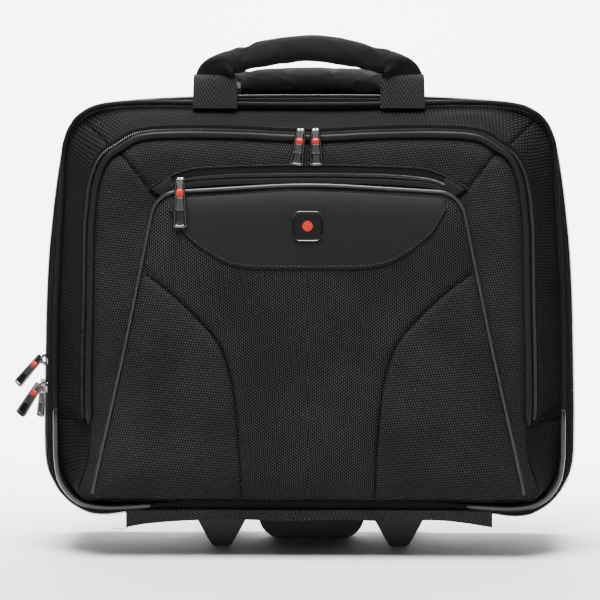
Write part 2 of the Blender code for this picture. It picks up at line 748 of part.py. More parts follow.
def front_piping():
    points = [(x, PIPING_Y, z) for x, z in case_outline(-PIPING_INSET)]
    return tube("front_piping", points, PIPING_RADIUS, PIPING, cyclic=True)


def corner_guard(name, side):
    """A satin sleeve over the piping round one bottom corner of the front edge."""
    path = corner_path(side, -PIPING_INSET, GUARD_TOP, GUARD_END)
    guard = tube(name, [(x, PIPING_Y, z) for x, z in path], GUARD_RADIUS, SATIN)
    longer = corner_path(side, -PIPING_INSET, GUARD_TOP + 0.01, GUARD_END - 0.01)
    bore = [(x, PIPING_Y, z) for x, z in longer]
    return cut(guard, tube(f"{name}_bore", bore, GUARD_BORE, SATIN, collection=CUTTERS))


# ---------------------------------------------------------------- lid with the flat pocket


def lid_panel():
    return loft(
        "lid_panel",
        [
            (LID_FACE, lid_outline(-0.010, -0.016)),
            (LID_FACE + 0.003, lid_outline(-0.006, -0.0125)),
            (LID_BACK - FIT, lid_outline(-0.005, -0.0125)),
        ],
        NYLON,
    )


def pocket_panel():
    return loft(
        "pocket_panel",
        [
            (POCKET_FACE, pocket_outline(-0.008)),
            (POCKET_FACE + 0.0035, pocket_outline(-0.0015)),
            (LID_FACE - FIT, pocket_outline(0)),
        ],
        NYLON,
    )


def trim_piping():
    """The thin satin cord that runs up one side of the pocket, over its top and down the other."""
    route = pocket_outline(0.0022)
    y = LID_FACE - FIT - 0.0016
    return tube("trim_piping", [(x, y, z) for x, z in route], 0.0014, SATIN)


def badge():
    corners = [(-0.0125, 0.270), (0.0125, 0.270), (0.0125, 0.295), (-0.0125, 0.295)]
    edge = rounded(corners, [0.006] * 4, 3)
    back = POCKET_FACE - FIT
    return slab("badge", edge, back - BADGE_THICK, back, ENAMEL)


# ---------------------------------------------------------------- zip sliders and pulls


def slider_frame(place, down, out):
    """The matrix of a slider: local Y along its hanging pull, Z out of the fabric, X across."""
    down, out = Vector(down).normalized(), Vector(out).normalized()
    across = down.cross(out)
    turn = Matrix((across, down, out)).transposed().to_4x4()
    return Matrix.Translation(place) @ turn


def place_in(obj, frame):
    """Moves a piece from a slider's own frame to the case."""
    bpy.context.view_layer.update()
    obj.matrix_world = frame @ obj.matrix_world
    return obj


def zip_slider(name, frame, coil_along):
    """A slider that straddles the coil, with the bridge that its pull hangs from."""
    high = SLIDER_HIGH
    a, b = {"X": (SLIDER_LONG, SLIDER_WIDE), "Y": (SLIDER_WIDE, SLIDER_LONG)}[coil_along]
    body = block(name, (-a, -b, 0.0005), (a, b, high), GUNMETAL)
    post_top = PULL_HINGE_HEIGHT + 0.0026
    pieces = []
    for side in (-1, 1):
        y = side * 0.0034
        low, high_post = (-0.0012, y - 0.0006, high - 0.001), (0.0012, y + 0.0006, post_top)
        pieces.append(block(f"{name}_post_{side}", low, high_post, GUNMETAL))
    low = (-0.0012, -0.0040, PULL_HINGE_HEIGHT + 0.0014)
    pieces.append(block(f"{name}_bridge", low, (0.0012, 0.0040, post_top), GUNMETAL))
    join(body, *pieces)
    gap = COIL_RADIUS + 0.5 * MM
    reach = {"X": (0.02, gap), "Y": (gap, 0.02)}[coil_along]
    depth = 2 * COIL_RADIUS + 0.9 * MM
    channel = block(
        f"{name}_channel", (-reach[0], -reach[1], -0.001), (reach[0], reach[1], depth), GUNMETAL, CUTTERS
    )
    cut(body, channel)
    for piece in (body, channel, *pieces):
        place_in(piece, frame)
    return body


def zip_pull(name, frame, length, lift):
    """A pull that hangs from a slider's bridge, lifted from the fabric by an angle."""
    half, thick = PULL_WIDTH / 2, PULL_THICK / 2
    head = 0.0026
    corners = [(-half, -head), (half, -head), (half, length), (-half, length)]
    pull = slab(name, rounded(corners, [0.002] * 4, 2), -thick, thick, GUNMETAL, "Z")
    eye = block(f"{name}_eye", (-0.0026, 0.0009, -0.01), (0.0026, 0.0060, 0.01), GUNMETAL, CUTTERS)
    low, high = (-0.0032, length - 0.0110, -0.01), (0.0032, length - 0.0030, 0.01)
    window = block(f"{name}_window", low, high, GUNMETAL, CUTTERS)
    cut(pull, eye, window)
    hinge = frame @ Matrix.Translation((0, 0, PULL_HINGE_HEIGHT)) @ Matrix.Rotation(lift, 4, "X")
    for piece in (pull, eye, window):
        place_in(piece, hinge)
    return pull


def zip_set(name, place, down, out, coil_along, length, lift, parent, track=None):
    """One slider with its pull. The slider's empty is on its track's centre if the track is an arc."""
    frame = slider_frame(place, down, out)
    run = pivot(f"{name}_track", track or place, parent)
    hang(zip_slider(f"{name}_slider", frame, coil_along), run)
    hinge = pivot(f"{name}_swing", frame @ Vector((0, 0, PULL_HINGE_HEIGHT)), run)
    hang(zip_pull(f"{name}_pull", frame, length, math.radians(lift)), hinge)


# ---------------------------------------------------------------- assembly


def build_case():
    main_shell()
    back_board()
    tube_cover()
    wheel_base()
    centre_foot()
    lower_bracket()
    handle_bezel()
    perimeter_zip("laptop_zip", LAPTOP_ZIP_Y)
    for side, word in ((-1, "left"), (1, "right")):
        front_foot(f"front_foot_{word}", side)
        wheel_housing(f"wheel_housing_{word}", side)
        rear_guard(f"rear_guard_{word}", side)
        turning = pivot(f"wheel_{word}_axis", (side * FOOT_X, WHEEL_Y, WHEEL_RADIUS))
        tyre, hub, _ = wheel(f"wheel_{word}", side)
        hang(tyre, turning)
        hang(hub, turning)
        rect_tube(f"outer_tube_{word}", side, OUTER_TUBE, BRACKET_LOW + 0.0033, BEZEL_FLOOR, ALUMINIUM)


def build_trolley():
    lower_stage = pivot("trolley_lower_axis", (0, TUBE_Y, COLLAR_HIGH))
    upper_stage = pivot("trolley_upper_axis", (0, TUBE_Y, GRIP_HIGH), lower_stage)
    press = pivot("release_axis", (0, TUBE_Y, GRIP_HIGH), upper_stage)
    hang(middle_collar(), lower_stage)
    for side, word in ((-1, "left"), (1, "right")):
        middle = rect_tube(f"middle_tube_{word}", side, MIDDLE_TUBE, 0.062, COLLAR_HIGH, ALUMINIUM)
        hang(middle, lower_stage)
        inner = rect_tube(f"inner_tube_{word}", side, INNER_TUBE, 0.066, GRIP_SPLIT, ALUMINIUM)
        hang(inner, upper_stage)
    for piece in trolley_grip():
        hang(piece, upper_stage)
    for piece in release():
        hang(piece, press)


def build_handles(front_section):
    front = pivot("front_handle_axis", FRONT_HANDLE_PIVOT, front_section)
    for piece in carry_handle("front", FRONT_HANDLE_PIVOT):
        hang(piece, front)
    rear = pivot("rear_handle_axis", REAR_HANDLE_PIVOT)
    for piece in carry_handle("rear", REAR_HANDLE_PIVOT):
        hang(piece, rear)
    rear.rotation_euler = (-REAR_HANDLE_LEAN, 0, 0)


def build_sections():
    laptop = pivot("laptop_section_axis", LAPTOP_HINGE)
    for piece in (laptop_shell(), laptop_strap(), hinge_strip(), perimeter_zip("main_zip", MAIN_ZIP_Y)):
        hang(piece, laptop)
    front = pivot("front_section_axis", MAIN_HINGE, laptop)
    for piece in (front_shell(), organiser_panel(), front_piping()):
        hang(piece, front)
    hang(corner_guard("corner_guard_left", -1), front)
    hang(corner_guard("corner_guard_right", 1), front)
    lid = pivot("lid_axis", LID_HINGE, front)
    for piece in (lid_panel(), pocket_panel(), trim_piping(), badge()):
        hang(piece, lid)
    return laptop, front, lid


def build_zips(laptop, lid):
    facing, down, left = (0, -1, 0), (0, 0, -1), (-1, 0, 0)
    side = -CASE_HALF_WIDTH
    for name, y, z, lift, parent in (
        ("main_upper", MAIN_ZIP_Y, 0.166, 38, laptop),
        ("main_lower", MAIN_ZIP_Y, 0.142, 46, laptop),
        ("laptop", LAPTOP_ZIP_Y, 0.142, 3, None),
    ):
        place = (side + (z - TAPER_STARTS) * SIDE_LEAN, y, z)
        along = (-SIDE_LEAN, 0, -1)
        out = Vector(along).cross(Vector((0, 1, 0)))
        out = out if out.x < 0 else -out
        zip_set(name, place, along, out, "Y", PULL_LENGTH, lift, parent)
    lid_zip_z, lid_zip_y = 0.3590, LID_BACK - 0.0006
    rise_centre = (0, lid_zip_y, lid_zip_z + 0.893)
    for name, x in (("organiser_left", -0.0063), ("organiser_right", 0.0063)):
        place = (x, lid_zip_y, lid_zip_z)
        zip_set(name, place, down, facing, "X", SHORT_PULL_LENGTH, 1, lid, rise_centre)
    pocket_zip_y = LID_FACE - 0.0006
    fall_centre = (0, pocket_zip_y, 0.3237 - 1.000)
    place = (-0.107, pocket_zip_y, 0.3180)
    zip_set("pocket", place, down, facing, "X", PULL_LENGTH, 1, lid, fall_centre)


def main():
    build_case()
    build_trolley()
    laptop, front, lid = build_sections()
    build_handles(front)
    build_zips(laptop, lid)


main()
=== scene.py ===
import json
import math

import bpy
import numpy as np
from mathutils import Matrix, Vector


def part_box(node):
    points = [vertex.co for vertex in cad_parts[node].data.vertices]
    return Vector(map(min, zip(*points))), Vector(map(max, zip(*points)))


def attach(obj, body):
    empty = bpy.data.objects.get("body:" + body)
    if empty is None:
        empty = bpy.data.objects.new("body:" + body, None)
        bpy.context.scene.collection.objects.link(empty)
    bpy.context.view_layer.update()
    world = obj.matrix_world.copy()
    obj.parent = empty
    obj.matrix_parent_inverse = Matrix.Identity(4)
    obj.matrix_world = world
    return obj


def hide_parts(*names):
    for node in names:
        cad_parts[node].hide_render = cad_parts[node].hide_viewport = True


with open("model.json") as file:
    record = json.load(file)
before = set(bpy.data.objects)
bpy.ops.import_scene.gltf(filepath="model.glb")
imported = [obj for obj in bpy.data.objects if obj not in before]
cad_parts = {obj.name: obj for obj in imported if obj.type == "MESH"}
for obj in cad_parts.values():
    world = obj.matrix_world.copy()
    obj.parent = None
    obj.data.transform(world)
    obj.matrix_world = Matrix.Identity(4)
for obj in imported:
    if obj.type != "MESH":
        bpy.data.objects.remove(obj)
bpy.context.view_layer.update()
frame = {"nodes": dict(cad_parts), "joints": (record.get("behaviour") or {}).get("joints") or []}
joints = {joint["name"]: joint for joint in frame["joints"]}
print("frame loaded")

# Shared by every piece: how the case is drawn, in metres
caseShape = {
    "outline": [
        (0, 0.0384), (0.135, 0.0384), (0.155, 0.0366), (0.171, 0.0343), (0.182, 0.0342), (0.1895, 0.0357)
    ]
    + [
        (0.1965, 0.0390), (0.2052, 0.0447), (0.2135, 0.0535), (0.2188, 0.0625), (0.2227, 0.0712),
        (0.2250, 0.0830),
    ]
    + [
        (0.2257, 0.1000), (0.2256, 0.1314), (0.2246, 0.1740), (0.2235, 0.2166), (0.2211, 0.2592),
        (0.2166, 0.3018),
    ]
    + [
        (0.2132, 0.3270), (0.2103, 0.3437), (0.2056, 0.3603), (0.2012, 0.3690), (0.1930, 0.3772),
        (0.1850, 0.3816),
    ]
    + [
        (0.1735, 0.3845), (0.1550, 0.3866), (0.1270, 0.3886), (0.0950, 0.3898), (0.0500, 0.3908),
        (0, 0.3911),
    ],
    "loopPoints": 420,
}
pipingShape = [
    (0, 0.0455), (0.100, 0.0452), (0.1314, 0.0430), (0.1604, 0.0413), (0.1774, 0.0414), (0.1928, 0.0443)
]
pipingShape += [
    (0.2047, 0.0524), (0.2128, 0.0652), (0.2158, 0.0820), (0.2162, 0.1000), (0.2163, 0.1340),
    (0.2162, 0.1758),
]
pipingShape += [
    (0.2152, 0.2184), (0.2132, 0.2610), (0.2107, 0.3036), (0.2091, 0.3377), (0.2068, 0.3550),
    (0.1990, 0.3705),
]
pipingShape += [
    (0.1880, 0.3792), (0.1732, 0.3840), (0.1430, 0.3863), (0.100, 0.3860), (0.050, 0.3846), (0, 0.3842)
]
lidShape = {
    "outline": [
        (0, 0.0496), (0.170, 0.0496), (0.188, 0.0503), (0.1945, 0.0545), (0.1948, 0.0600), (0.1920, 0.0680)
    ]
    + [
        (0.1893, 0.0757), (0.1868, 0.0850), (0.1853, 0.0940), (0.1848, 0.1060), (0.1850, 0.1180),
        (0.1856, 0.1344),
    ]
    + [
        (0.1851, 0.1770), (0.1839, 0.2196), (0.1830, 0.2750), (0.1818, 0.2921), (0.1801, 0.3091),
        (0.1779, 0.3202),
    ]
    + [
        (0.1745, 0.3304), (0.1702, 0.3381), (0.1651, 0.3432), (0.1575, 0.3479), (0.1498, 0.3530),
        (0.1421, 0.3564),
    ]
    + [
        (0.1336, 0.3577), (0.1251, 0.3585), (0.0910, 0.3591), (0.0500, 0.3581), (0.0300, 0.3569),
        (0.0120, 0.3561), (0, 0.3560),
    ],
    "loopPoints": 640,
}


# Shape helpers


def unit(v):
    return v / np.maximum(np.linalg.norm(v, axis=-1, keepdims=True), 1e-12)


def evenly(path, count, closed=False):
    # the same path, at equal steps of length
    full = np.concatenate([path, path[:1]]) if closed else path
    length = np.concatenate([[0], np.cumsum(np.linalg.norm(np.diff(full, axis=0), axis=1))])
    at = np.linspace(0, length[-1], count + 1)[:-1] if closed else np.linspace(0, length[-1], count)
    return np.stack([np.interp(at, length, full[:, k]) for k in range(full.shape[1])], 1)


def smoothLine(points, count):
    # a Catmull-Rom curve through the points, then equal steps
    p = np.asarray(points, float)
    p = np.concatenate([2 * p[:1] - p[1:2], p, 2 * p[-1:] - p[-2:-1]])
    t = np.linspace(0, 1, 12, endpoint=False)[None, :, None]
    a, b, c, d = (p[k : len(p) - 3 + k][:, None] for k in range(4))
    curve = b + 0.5 * ((c - a) * t + (2 * a - 5 * b + 4 * c - d) * t**2 + (3 * b - a - 3 * c + d) * t**3)
    return evenly(np.concatenate([curve.reshape(-1, p.shape[1]), p[-2:-1]]), count)


def roundedLoop(corners, radii, count):
    # a polygon with an arc at each corner, at equal steps; a radius of 0 keeps the corner
    corner = np.asarray(corners, float)
    parts = []
    for k, radius in enumerate(radii):
        here = corner[k]
        before, after = unit(corner[k - 1] - here), unit(corner[(k + 1) % len(corner)] - here)
        if radius <= 0:
            parts.append(here[None])
            continue
        half = math.acos(np.clip(before @ after, -1, 1)) / 2
        centre = here + unit(before + after) * radius / math.sin(half)
        first = here + before * radius / math.tan(half) - centre
        last = here + after * radius / math.tan(half) - centre
        turn, share = math.pi - 2 * half, np.linspace(0, 1, 25)[:, None]
        parts.append(
            centre + (np.sin((1 - share) * turn) * first + np.sin(share * turn) * last) / math.sin(turn)
        )
    return evenly(np.concatenate(parts), count, closed=True)


def loopNormal(loop):
    # outward directions of a loop that runs anticlockwise
    along = unit(np.roll(loop, -1, 0) - np.roll(loop, 1, 0))
    return np.stack([along[:, 1], -along[:, 0]], 1)


def insetRings(loop, insets, limit=0.030):
    # rings inside a loop: moved along the normals up to the limit, then drawn in to the middle (inset 1)
    normal, middle = loopNormal(loop), (loop.max(0) + loop.min(0)) / 2
    insets = np.asarray(insets, float)[:, None, None]
    near = loop - normal * np.minimum(insets, limit)
    share = np.clip((insets - limit) / (1 - limit), 0, 1)
    return near + (middle - near) * share


def atDepth(rings, depths):
    depths = np.broadcast_to(np.asarray(depths, float)[:, None], rings.shape[:2])
    return np.stack([rings[..., 0], depths, rings[..., 1]], -1)


def outlineLoop(half, count, dense=1600):
    # a smooth closed outline from the points of its right half, starting at the middle of the foot
    half = np.asarray(half, float)
    right = smoothLine(half, dense // 2)
    right[0, 0] = right[-1, 0] = 0
    left = right[-2:0:-1] * (-1, 1)
    return evenly(np.concatenate([right, left]), count, closed=True)


def insetLoop(loop, inset, topInset=None):
    # the outline moved inwards, by another amount where it faces up
    normal = loopNormal(loop)
    amount = inset + ((inset if topInset is None else topInset) - inset) * np.clip(normal[:, 1:], 0, 1) ** 2
    return loop - normal * amount


caseOutline = outlineLoop(caseShape["outline"], 2400)
pipingOutline = outlineLoop(pipingShape, 2400)
lidOutline = outlineLoop(lidShape["outline"], 2400)


def caseLoop(inset=0.0, topInset=None, count=None):
    return evenly(insetLoop(caseOutline, inset, topInset), count or caseShape["loopPoints"], closed=True)


def lidLoop(inset=0.0, topInset=None, count=None):
    return evenly(insetLoop(lidOutline, inset, topInset), count or lidShape["loopPoints"], closed=True)


def lineDistance(x, z, line):
    # distance from each point to a line, signed by the side it is on
    a, b = line[:-1], line[1:]
    p = np.stack([x, z], -1)[..., None, :]
    span = b - a
    share = np.clip(((p - a) * span).sum(-1) / (span**2).sum(-1), 0, 1)
    away = p - (a + share[..., None] * span)
    far = np.linalg.norm(away, axis=-1)
    nearest = far.argmin(-1)[..., None]
    cross = span[:, 0] * (p - a)[..., 1] - span[:, 1] * (p - a)[..., 0]
    return np.take_along_axis(far * np.sign(cross), nearest, -1)[..., 0]


def seamDistance(points, lines):
    # the least distance to any of the seam lines, over a grid of points
    x, z = points[..., 0].ravel(), points[..., 2].ravel()
    best = np.full(x.shape, 1.0)
    for line in lines:
        for part in np.array_split(np.arange(len(x)), max(1, len(x) // 20000)):
            best[part] = np.minimum(best[part], np.abs(lineDistance(x[part], z[part], line)))
    return best.reshape(points.shape[:2])


def ripple(x, z, seed, scale, waves=7):
    # smooth uneven cloth: a few long sine waves that cross at chosen angles
    spin = np.random.default_rng(seed)
    total = np.zeros_like(x)
    for _ in range(waves):
        angle, length, shift = spin.uniform(0, math.pi), spin.uniform(0.6, 1.6) * scale, spin.uniform(0, 7)
        total += np.sin((x * math.cos(angle) + z * math.sin(angle)) * 2 * math.pi / length + shift)
    return total / waves


# Mesh helpers


def buildMesh(name, vertices, faces, uvs=None, fields=None, sharp=45):
    mesh = bpy.data.meshes.new(name)
    mesh.from_pydata(vertices.tolist(), [], faces)
    if uvs is not None:
        layer = mesh.uv_layers.new(name="cloth")
        layer.data.foreach_set("uv", np.asarray(uvs, np.float32).ravel())
    for field, values in (fields or {}).items():
        mesh.attributes.new(field, "FLOAT", "POINT").data.foreach_set("value", values.astype(np.float32))
    mesh.polygons.foreach_set("use_smooth", np.ones(len(mesh.polygons), bool))
    mesh.set_sharp_from_angle(angle=math.radians(sharp))
    return bpy.data.objects.new(name, mesh)


def arcLengths(points):
    # lengths along both directions of a grid, as a pair of coordinates
    across = np.linalg.norm(np.diff(points, axis=1), axis=-1).mean(0)
    along = np.linalg.norm(np.diff(points, axis=0), axis=-1).mean(1)
    u, v = np.concatenate([[0], np.cumsum(across)]), np.concatenate([[0], np.cumsum(along)])
    return np.stack(np.meshgrid(u, v), -1)


def gridMesh(
    name, points, uv=None, closeU=False, closeV=False, poles=(False, False), fields=None, sharp=45
):
    # a surface from a grid of points: rows run along, columns across; a pole closes an end ring to its middle
    rows, cols = points.shape[:2]
    index = np.arange(rows * cols).reshape(rows, cols)
    wide = np.concatenate([points, points[:, :1]], 1) if closeU else points
    wide = np.concatenate([wide, wide[:1]], 0) if closeV else wide
    index = np.concatenate([index, index[:, :1]], 1) if closeU else index
    index = np.concatenate([index, index[:1]], 0) if closeV else index
    uv = arcLengths(wide) if uv is None else uv
    corners = [(slice(None, -1), slice(None, -1)), (slice(None, -1), slice(1, None))]
    corners += [(slice(1, None), slice(1, None)), (slice(1, None), slice(None, -1))]
    quads = np.stack([index[c] for c in corners], -1).reshape(-1, 4)
    quadUv = np.stack([uv[c] for c in corners], -2).reshape(-1, 4, 2)
    vertices = points.reshape(-1, 3)
    faces, loops = quads.tolist(), [quadUv.reshape(-1, 2)]
    values = {field: list(np.asarray(v).ravel()) for field, v in (fields or {}).items()}
    for end, row in ((0, 0), (1, -1)):
        if not poles[end]:
            continue
        tip = len(vertices)
        vertices = np.concatenate([vertices, points[row].mean(0)[None]])
        ring = index[row] if end == 0 else index[-1]
        a, b = (ring[1:], ring[:-1]) if end == 0 else (ring[:-1], ring[1:])
        faces += np.stack([np.full(len(a), tip), a, b], 1).tolist()
        ringUv = uv[0] if end == 0 else uv[-1]
        au, bu = (ringUv[1:], ringUv[:-1]) if end == 0 else (ringUv[:-1], ringUv[1:])
        middle = np.broadcast_to(ringUv[:-1].mean(0), au.shape)
        loops.append(np.stack([middle, au, bu], 1).reshape(-1, 2))
        for field in values:
            values[field].append(float(np.asarray(fields[field])[row].mean()))
    made = buildMesh(
        name, vertices, faces, np.concatenate(loops), {k: np.array(v) for k, v in values.items()}, sharp
    )
    return facingOut(made)


def facingOut(made):
    # turns a closed surface the right way round, by the sign of the space it holds
    mesh = made.data
    mesh.calc_loop_triangles()
    corner = np.zeros(len(mesh.loop_triangles) * 3, np.int32)
    mesh.loop_triangles.foreach_get("vertices", corner)
    place = np.zeros(len(mesh.vertices) * 3)
    mesh.vertices.foreach_get("co", place)
    a, b, c = place.reshape(-1, 3)[corner.reshape(-1, 3)].transpose(1, 0, 2)
    if np.einsum("ij,ij->i", a, np.cross(b, c)).sum() < 0:
        mesh.flip_normals()
    return made


def ovalSection(a, b, count=12, square=2.0):
    # a closed section, from an ellipse (2) towards a rounded box (larger)
    angle = np.linspace(0, 2 * math.pi, count, endpoint=False)
    c, s = np.cos(angle), np.sin(angle)
    return np.stack(
        [a * np.sign(c) * np.abs(c) ** (2 / square), b * np.sign(s) * np.abs(s) ** (2 / square)], 1
    )


def sweepPoints(path, section, up, closed=False, scale=None):
    # the section carried along the path: its first axis to the side, its second along up
    if closed:
        along = unit(np.roll(path, -1, 0) - np.roll(path, 1, 0))
    else:
        along = unit(np.gradient(path, axis=0))
    up = np.broadcast_to(np.asarray(up, float), path.shape)
    side = unit(np.cross(along, up))
    up = np.cross(side, along)
    size = np.ones(len(path)) if scale is None else scale
    section = np.broadcast_to(section, (len(path),) + np.shape(section)[-2:]) * size[:, None, None]
    return path[:, None] + section[..., :1] * side[:, None] + section[..., 1:] * up[:, None]


def sweep(name, path, section, up, closed=False, scale=None, fields=None, sharp=45):
    points = sweepPoints(path, section, up, closed, scale)
    return gridMesh(
        name, points, closeU=True, closeV=closed, poles=(not closed,) * 2, fields=fields, sharp=sharp
    )


def repeated(name, template, places, along, up, sharp=45):
    # one small closed shape set down at every place: template axes are along, side, up
    side = unit(np.cross(up, along))
    basis = np.stack([unit(along), side, unit(np.cross(along, side))], 1)
    rows, cols = template.shape[:2]
    local = template.reshape(-1, 3)
    vertices = places[:, None] + np.einsum("vk,nkj->nvj", local, basis)
    index = np.arange(rows * cols).reshape(rows, cols)
    index = np.concatenate([index, index[:, :1]], 1)
    quads = np.stack([index[:-1, :-1], index[:-1, 1:], index[1:, 1:], index[1:, :-1]], -1).reshape(-1, 4)
    shift = (np.arange(len(places)) * rows * cols)[:, None, None]
    faces = (quads[None] + shift).reshape(-1, 4).tolist()
    for row in (index[0, :-1][::-1], index[-1, :-1]):
        faces += (row[None] + shift[:, 0]).tolist()
    made = buildMesh(name, vertices.reshape(-1, 3), faces, sharp=sharp)
    return facingOut(made)


def bead(length, width, height, rows=5, cols=6):
    # a small rounded grain, for one stitch
    t = np.linspace(0.12, math.pi - 0.12, rows)[:, None]
    a = np.linspace(0, 2 * math.pi, cols, endpoint=False)[None]
    x = -length / 2 * np.cos(t) * np.ones_like(a)
    return np.stack(
        [x, width / 2 * np.sin(t) ** 0.5 * np.cos(a), height / 2 * np.sin(t) ** 0.5 * np.sin(a)], -1
    )


def stitches(name, path, up, length=0.0026, pitch=0.0036, width=0.0007):
    total = np.linalg.norm(np.diff(path, axis=0), axis=1).sum()
    count = max(2, int(total / pitch))
    places = evenly(path, count)
    along = unit(np.gradient(places, axis=0))
    up = np.broadcast_to(np.asarray(up, float), places.shape)
    return repeated(name, bead(length, width, width * 0.8), places, along, up)


def coilPath(path, up, width, height, pitch):
    # a flattened spiral round a path, one turn to each pitch
    total = np.linalg.norm(np.diff(path, axis=0), axis=1).sum()
    count = int(total / pitch) * 8
    line = evenly(path, count)
    up = np.broadcast_to(np.asarray(up, float), path.shape)
    lift = unit(
        np.stack(
            [np.interp(np.linspace(0, 1, count), np.linspace(0, 1, len(path)), up[:, k]) for k in range(3)], 1
        )
    )
    side = unit(np.cross(unit(np.gradient(line, axis=0)), lift))
    angle = np.arange(count) * math.pi / 4
    a, b = np.cos(angle)[:, None], np.sin(angle)[:, None]
    return line + side * a * width / 2 + lift * b * height / 2, side * a * height + lift * b * width


def plate(name, loop, thickness, dome, base, axes, rings=8, sharp=50, rim=0.0006):
    # a thin plate on a flat outline, with a rounded rim and a domed face; axes are across, up and outward
    across, upward, outward = (np.asarray(v, float) for v in axes)
    t = np.linspace(0, 1, rings) ** 0.8
    insets = np.concatenate([[rim * 1.2, 0, 0, rim], rim + t[1:-1] * (1 - rim)])
    heights = np.concatenate(
        [[0, rim * 0.3, thickness - rim, thickness], thickness + dome * (1 - (1 - t[1:-1]) ** 2)]
    )
    ringSet = insetRings(loop, insets, limit=rim * 2)
    back = insetRings(loop, [0.97], limit=rim * 2)
    ringSet = np.concatenate([back, ringSet])
    heights = np.concatenate([[0], heights])
    points = np.asarray(base, float) + ringSet[..., :1] * across + ringSet[..., 1:] * upward
    points = points + heights[:, None, None] * outward
    return gridMesh(name, points, closeU=True, poles=(True, True), sharp=sharp)


def settle(made, material, body, replaced=()):
    # puts a finished piece on its body, with its material, and hides the CAD part it replaces
    bpy.context.scene.collection.objects.link(made)
    for surface in material if isinstance(material, (list, tuple)) else [material]:
        made.data.materials.append(surface)
    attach(made, body)
    if replaced:
        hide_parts(*([replaced] if isinstance(replaced, str) else replaced))
    return made


def cutAway(made, boxes):
    # takes boxes out of a closed piece
    bpy.context.scene.collection.objects.link(made)
    cutters = []
    for low, high in boxes:
        low, high = np.array(low, float), np.array(high, float)
        pick = np.array(
            [[0, 0, 0], [1, 0, 0], [1, 1, 0], [0, 1, 0], [0, 0, 1], [1, 0, 1], [1, 1, 1], [0, 1, 1]]
        )
        faces = [(0, 3, 2, 1), (4, 5, 6, 7), (0, 1, 5, 4), (1, 2, 6, 5), (2, 3, 7, 6), (3, 0, 4, 7)]
        mesh = bpy.data.meshes.new("cutter")
        mesh.from_pydata((low + pick * (high - low)).tolist(), [], faces)
        cutter = bpy.data.objects.new("cutter", mesh)
        bpy.context.scene.collection.objects.link(cutter)
        modifier = made.modifiers.new("opening", "BOOLEAN")
        modifier.operation, modifier.object = "DIFFERENCE", cutter
        cutters.append(cutter)
    bpy.context.view_layer.update()
    graph = bpy.context.evaluated_depsgraph_get()
    mesh = bpy.data.meshes.new_from_object(made.evaluated_get(graph))
    made.modifiers.clear()
    made.data = mesh
    for cutter in cutters:
        bpy.data.objects.remove(cutter)
    bpy.context.scene.collection.objects.unlink(made)
    return made


# Material helpers


class Tree:
    def __init__(self, tree):
        self.tree = tree

    def node(self, kind, inputs=None, **settings):
        made = self.tree.nodes.new(kind)
        for key, value in settings.items():
            setattr(made, key, value)
        for key, value in (inputs or {}).items():
            self.put(made.inputs[key], value)
        return made

    def put(self, socket, value):
        if isinstance(value, bpy.types.NodeSocket):
            self.tree.links.new(value, socket)
        else:
            socket.default_value = value

    def calc(self, operation, *values, clamp=False):
        made = self.node("ShaderNodeMath", operation=operation, use_clamp=clamp)
        for socket, value in zip(made.inputs, values):
            self.put(socket, value)
        return made.outputs[0]

    def blend(self, share, first, second):
        made = self.node("ShaderNodeMix", data_type="RGBA")
        self.put(made.inputs["Factor"], share)
        self.put(made.inputs["A"], first)
        self.put(made.inputs["B"], second)
        return made.outputs["Result"]

    def fade(self, value, low, high, toLow=0.0, toHigh=1.0):
        inputs = {"Value": value, "From Min": low, "From Max": high, "To Min": toLow, "To Max": toHigh}
        return self.node("ShaderNodeMapRange", inputs).outputs["Result"]


def newGroup(name, inputs, outputs):
    group = bpy.data.node_groups.new(name, "ShaderNodeTree")
    for label, kind, value in inputs:
        socket = group.interface.new_socket(label, in_out="INPUT", socket_type=kind)
        if value is not None:
            socket.default_value = value
    for label, kind in outputs:
        group.interface.new_socket(label, in_out="OUTPUT", socket_type=kind)
    tree = Tree(group)
    return tree, tree.node("NodeGroupInput"), tree.node("NodeGroupOutput")


def weaveGroup():
    # round threads side by side, each passing over and under in dashes that step from thread to thread
    inputs = [("Vector", "NodeSocketVector", None), ("Pitch", "NodeSocketFloat", 0.001)]
    inputs += [
        ("Turn", "NodeSocketFloat", 0.0), ("Step", "NodeSocketFloat", 0.5),
        ("Fold", "NodeSocketFloat", 0.0),
    ]
    t, given, out = newGroup(
        "threadWeave", inputs, [("Height", "NodeSocketFloat"), ("Gap", "NodeSocketFloat")]
    )
    plain = t.node("ShaderNodeSeparateXYZ", {"Vector": given.outputs["Vector"]})
    width = t.calc("ADD", t.calc("MULTIPLY", given.outputs["Fold"], -1000.0), 1000.0)
    width = t.calc("ADD", width, t.calc("MULTIPLY", given.outputs["Fold"], 0.0188))
    back = t.node(
        "ShaderNodeCombineXYZ",
        {"X": t.calc("PINGPONG", plain.outputs["X"], width), "Y": plain.outputs["Y"]},
    )
    turned = t.node(
        "ShaderNodeVectorRotate", {"Vector": back.outputs["Vector"], "Angle": given.outputs["Turn"]}
    )
    split = t.node("ShaderNodeSeparateXYZ", {"Vector": turned.outputs["Vector"]})
    u = t.calc("DIVIDE", split.outputs["X"], given.outputs["Pitch"])
    v = t.calc("DIVIDE", split.outputs["Y"], given.outputs["Pitch"])
    crown = t.calc("POWER", t.calc("ABSOLUTE", t.calc("SINE", t.calc("MULTIPLY", u, math.pi))), 1.2)
    phase = t.calc("MULTIPLY_ADD", t.calc("FLOOR", u), given.outputs["Step"], t.calc("MULTIPLY", v, 0.62))
    pulse = t.calc("MULTIPLY_ADD", t.calc("SINE", t.calc("MULTIPLY", phase, 2 * math.pi)), 0.5, 0.5)
    height = t.calc("MULTIPLY", crown, t.calc("MULTIPLY_ADD", pulse, 0.8, 0.2))
    t.put(out.inputs["Height"], height)
    t.put(out.inputs["Gap"], t.fade(height, 0.42, 0.06))
    return t.tree


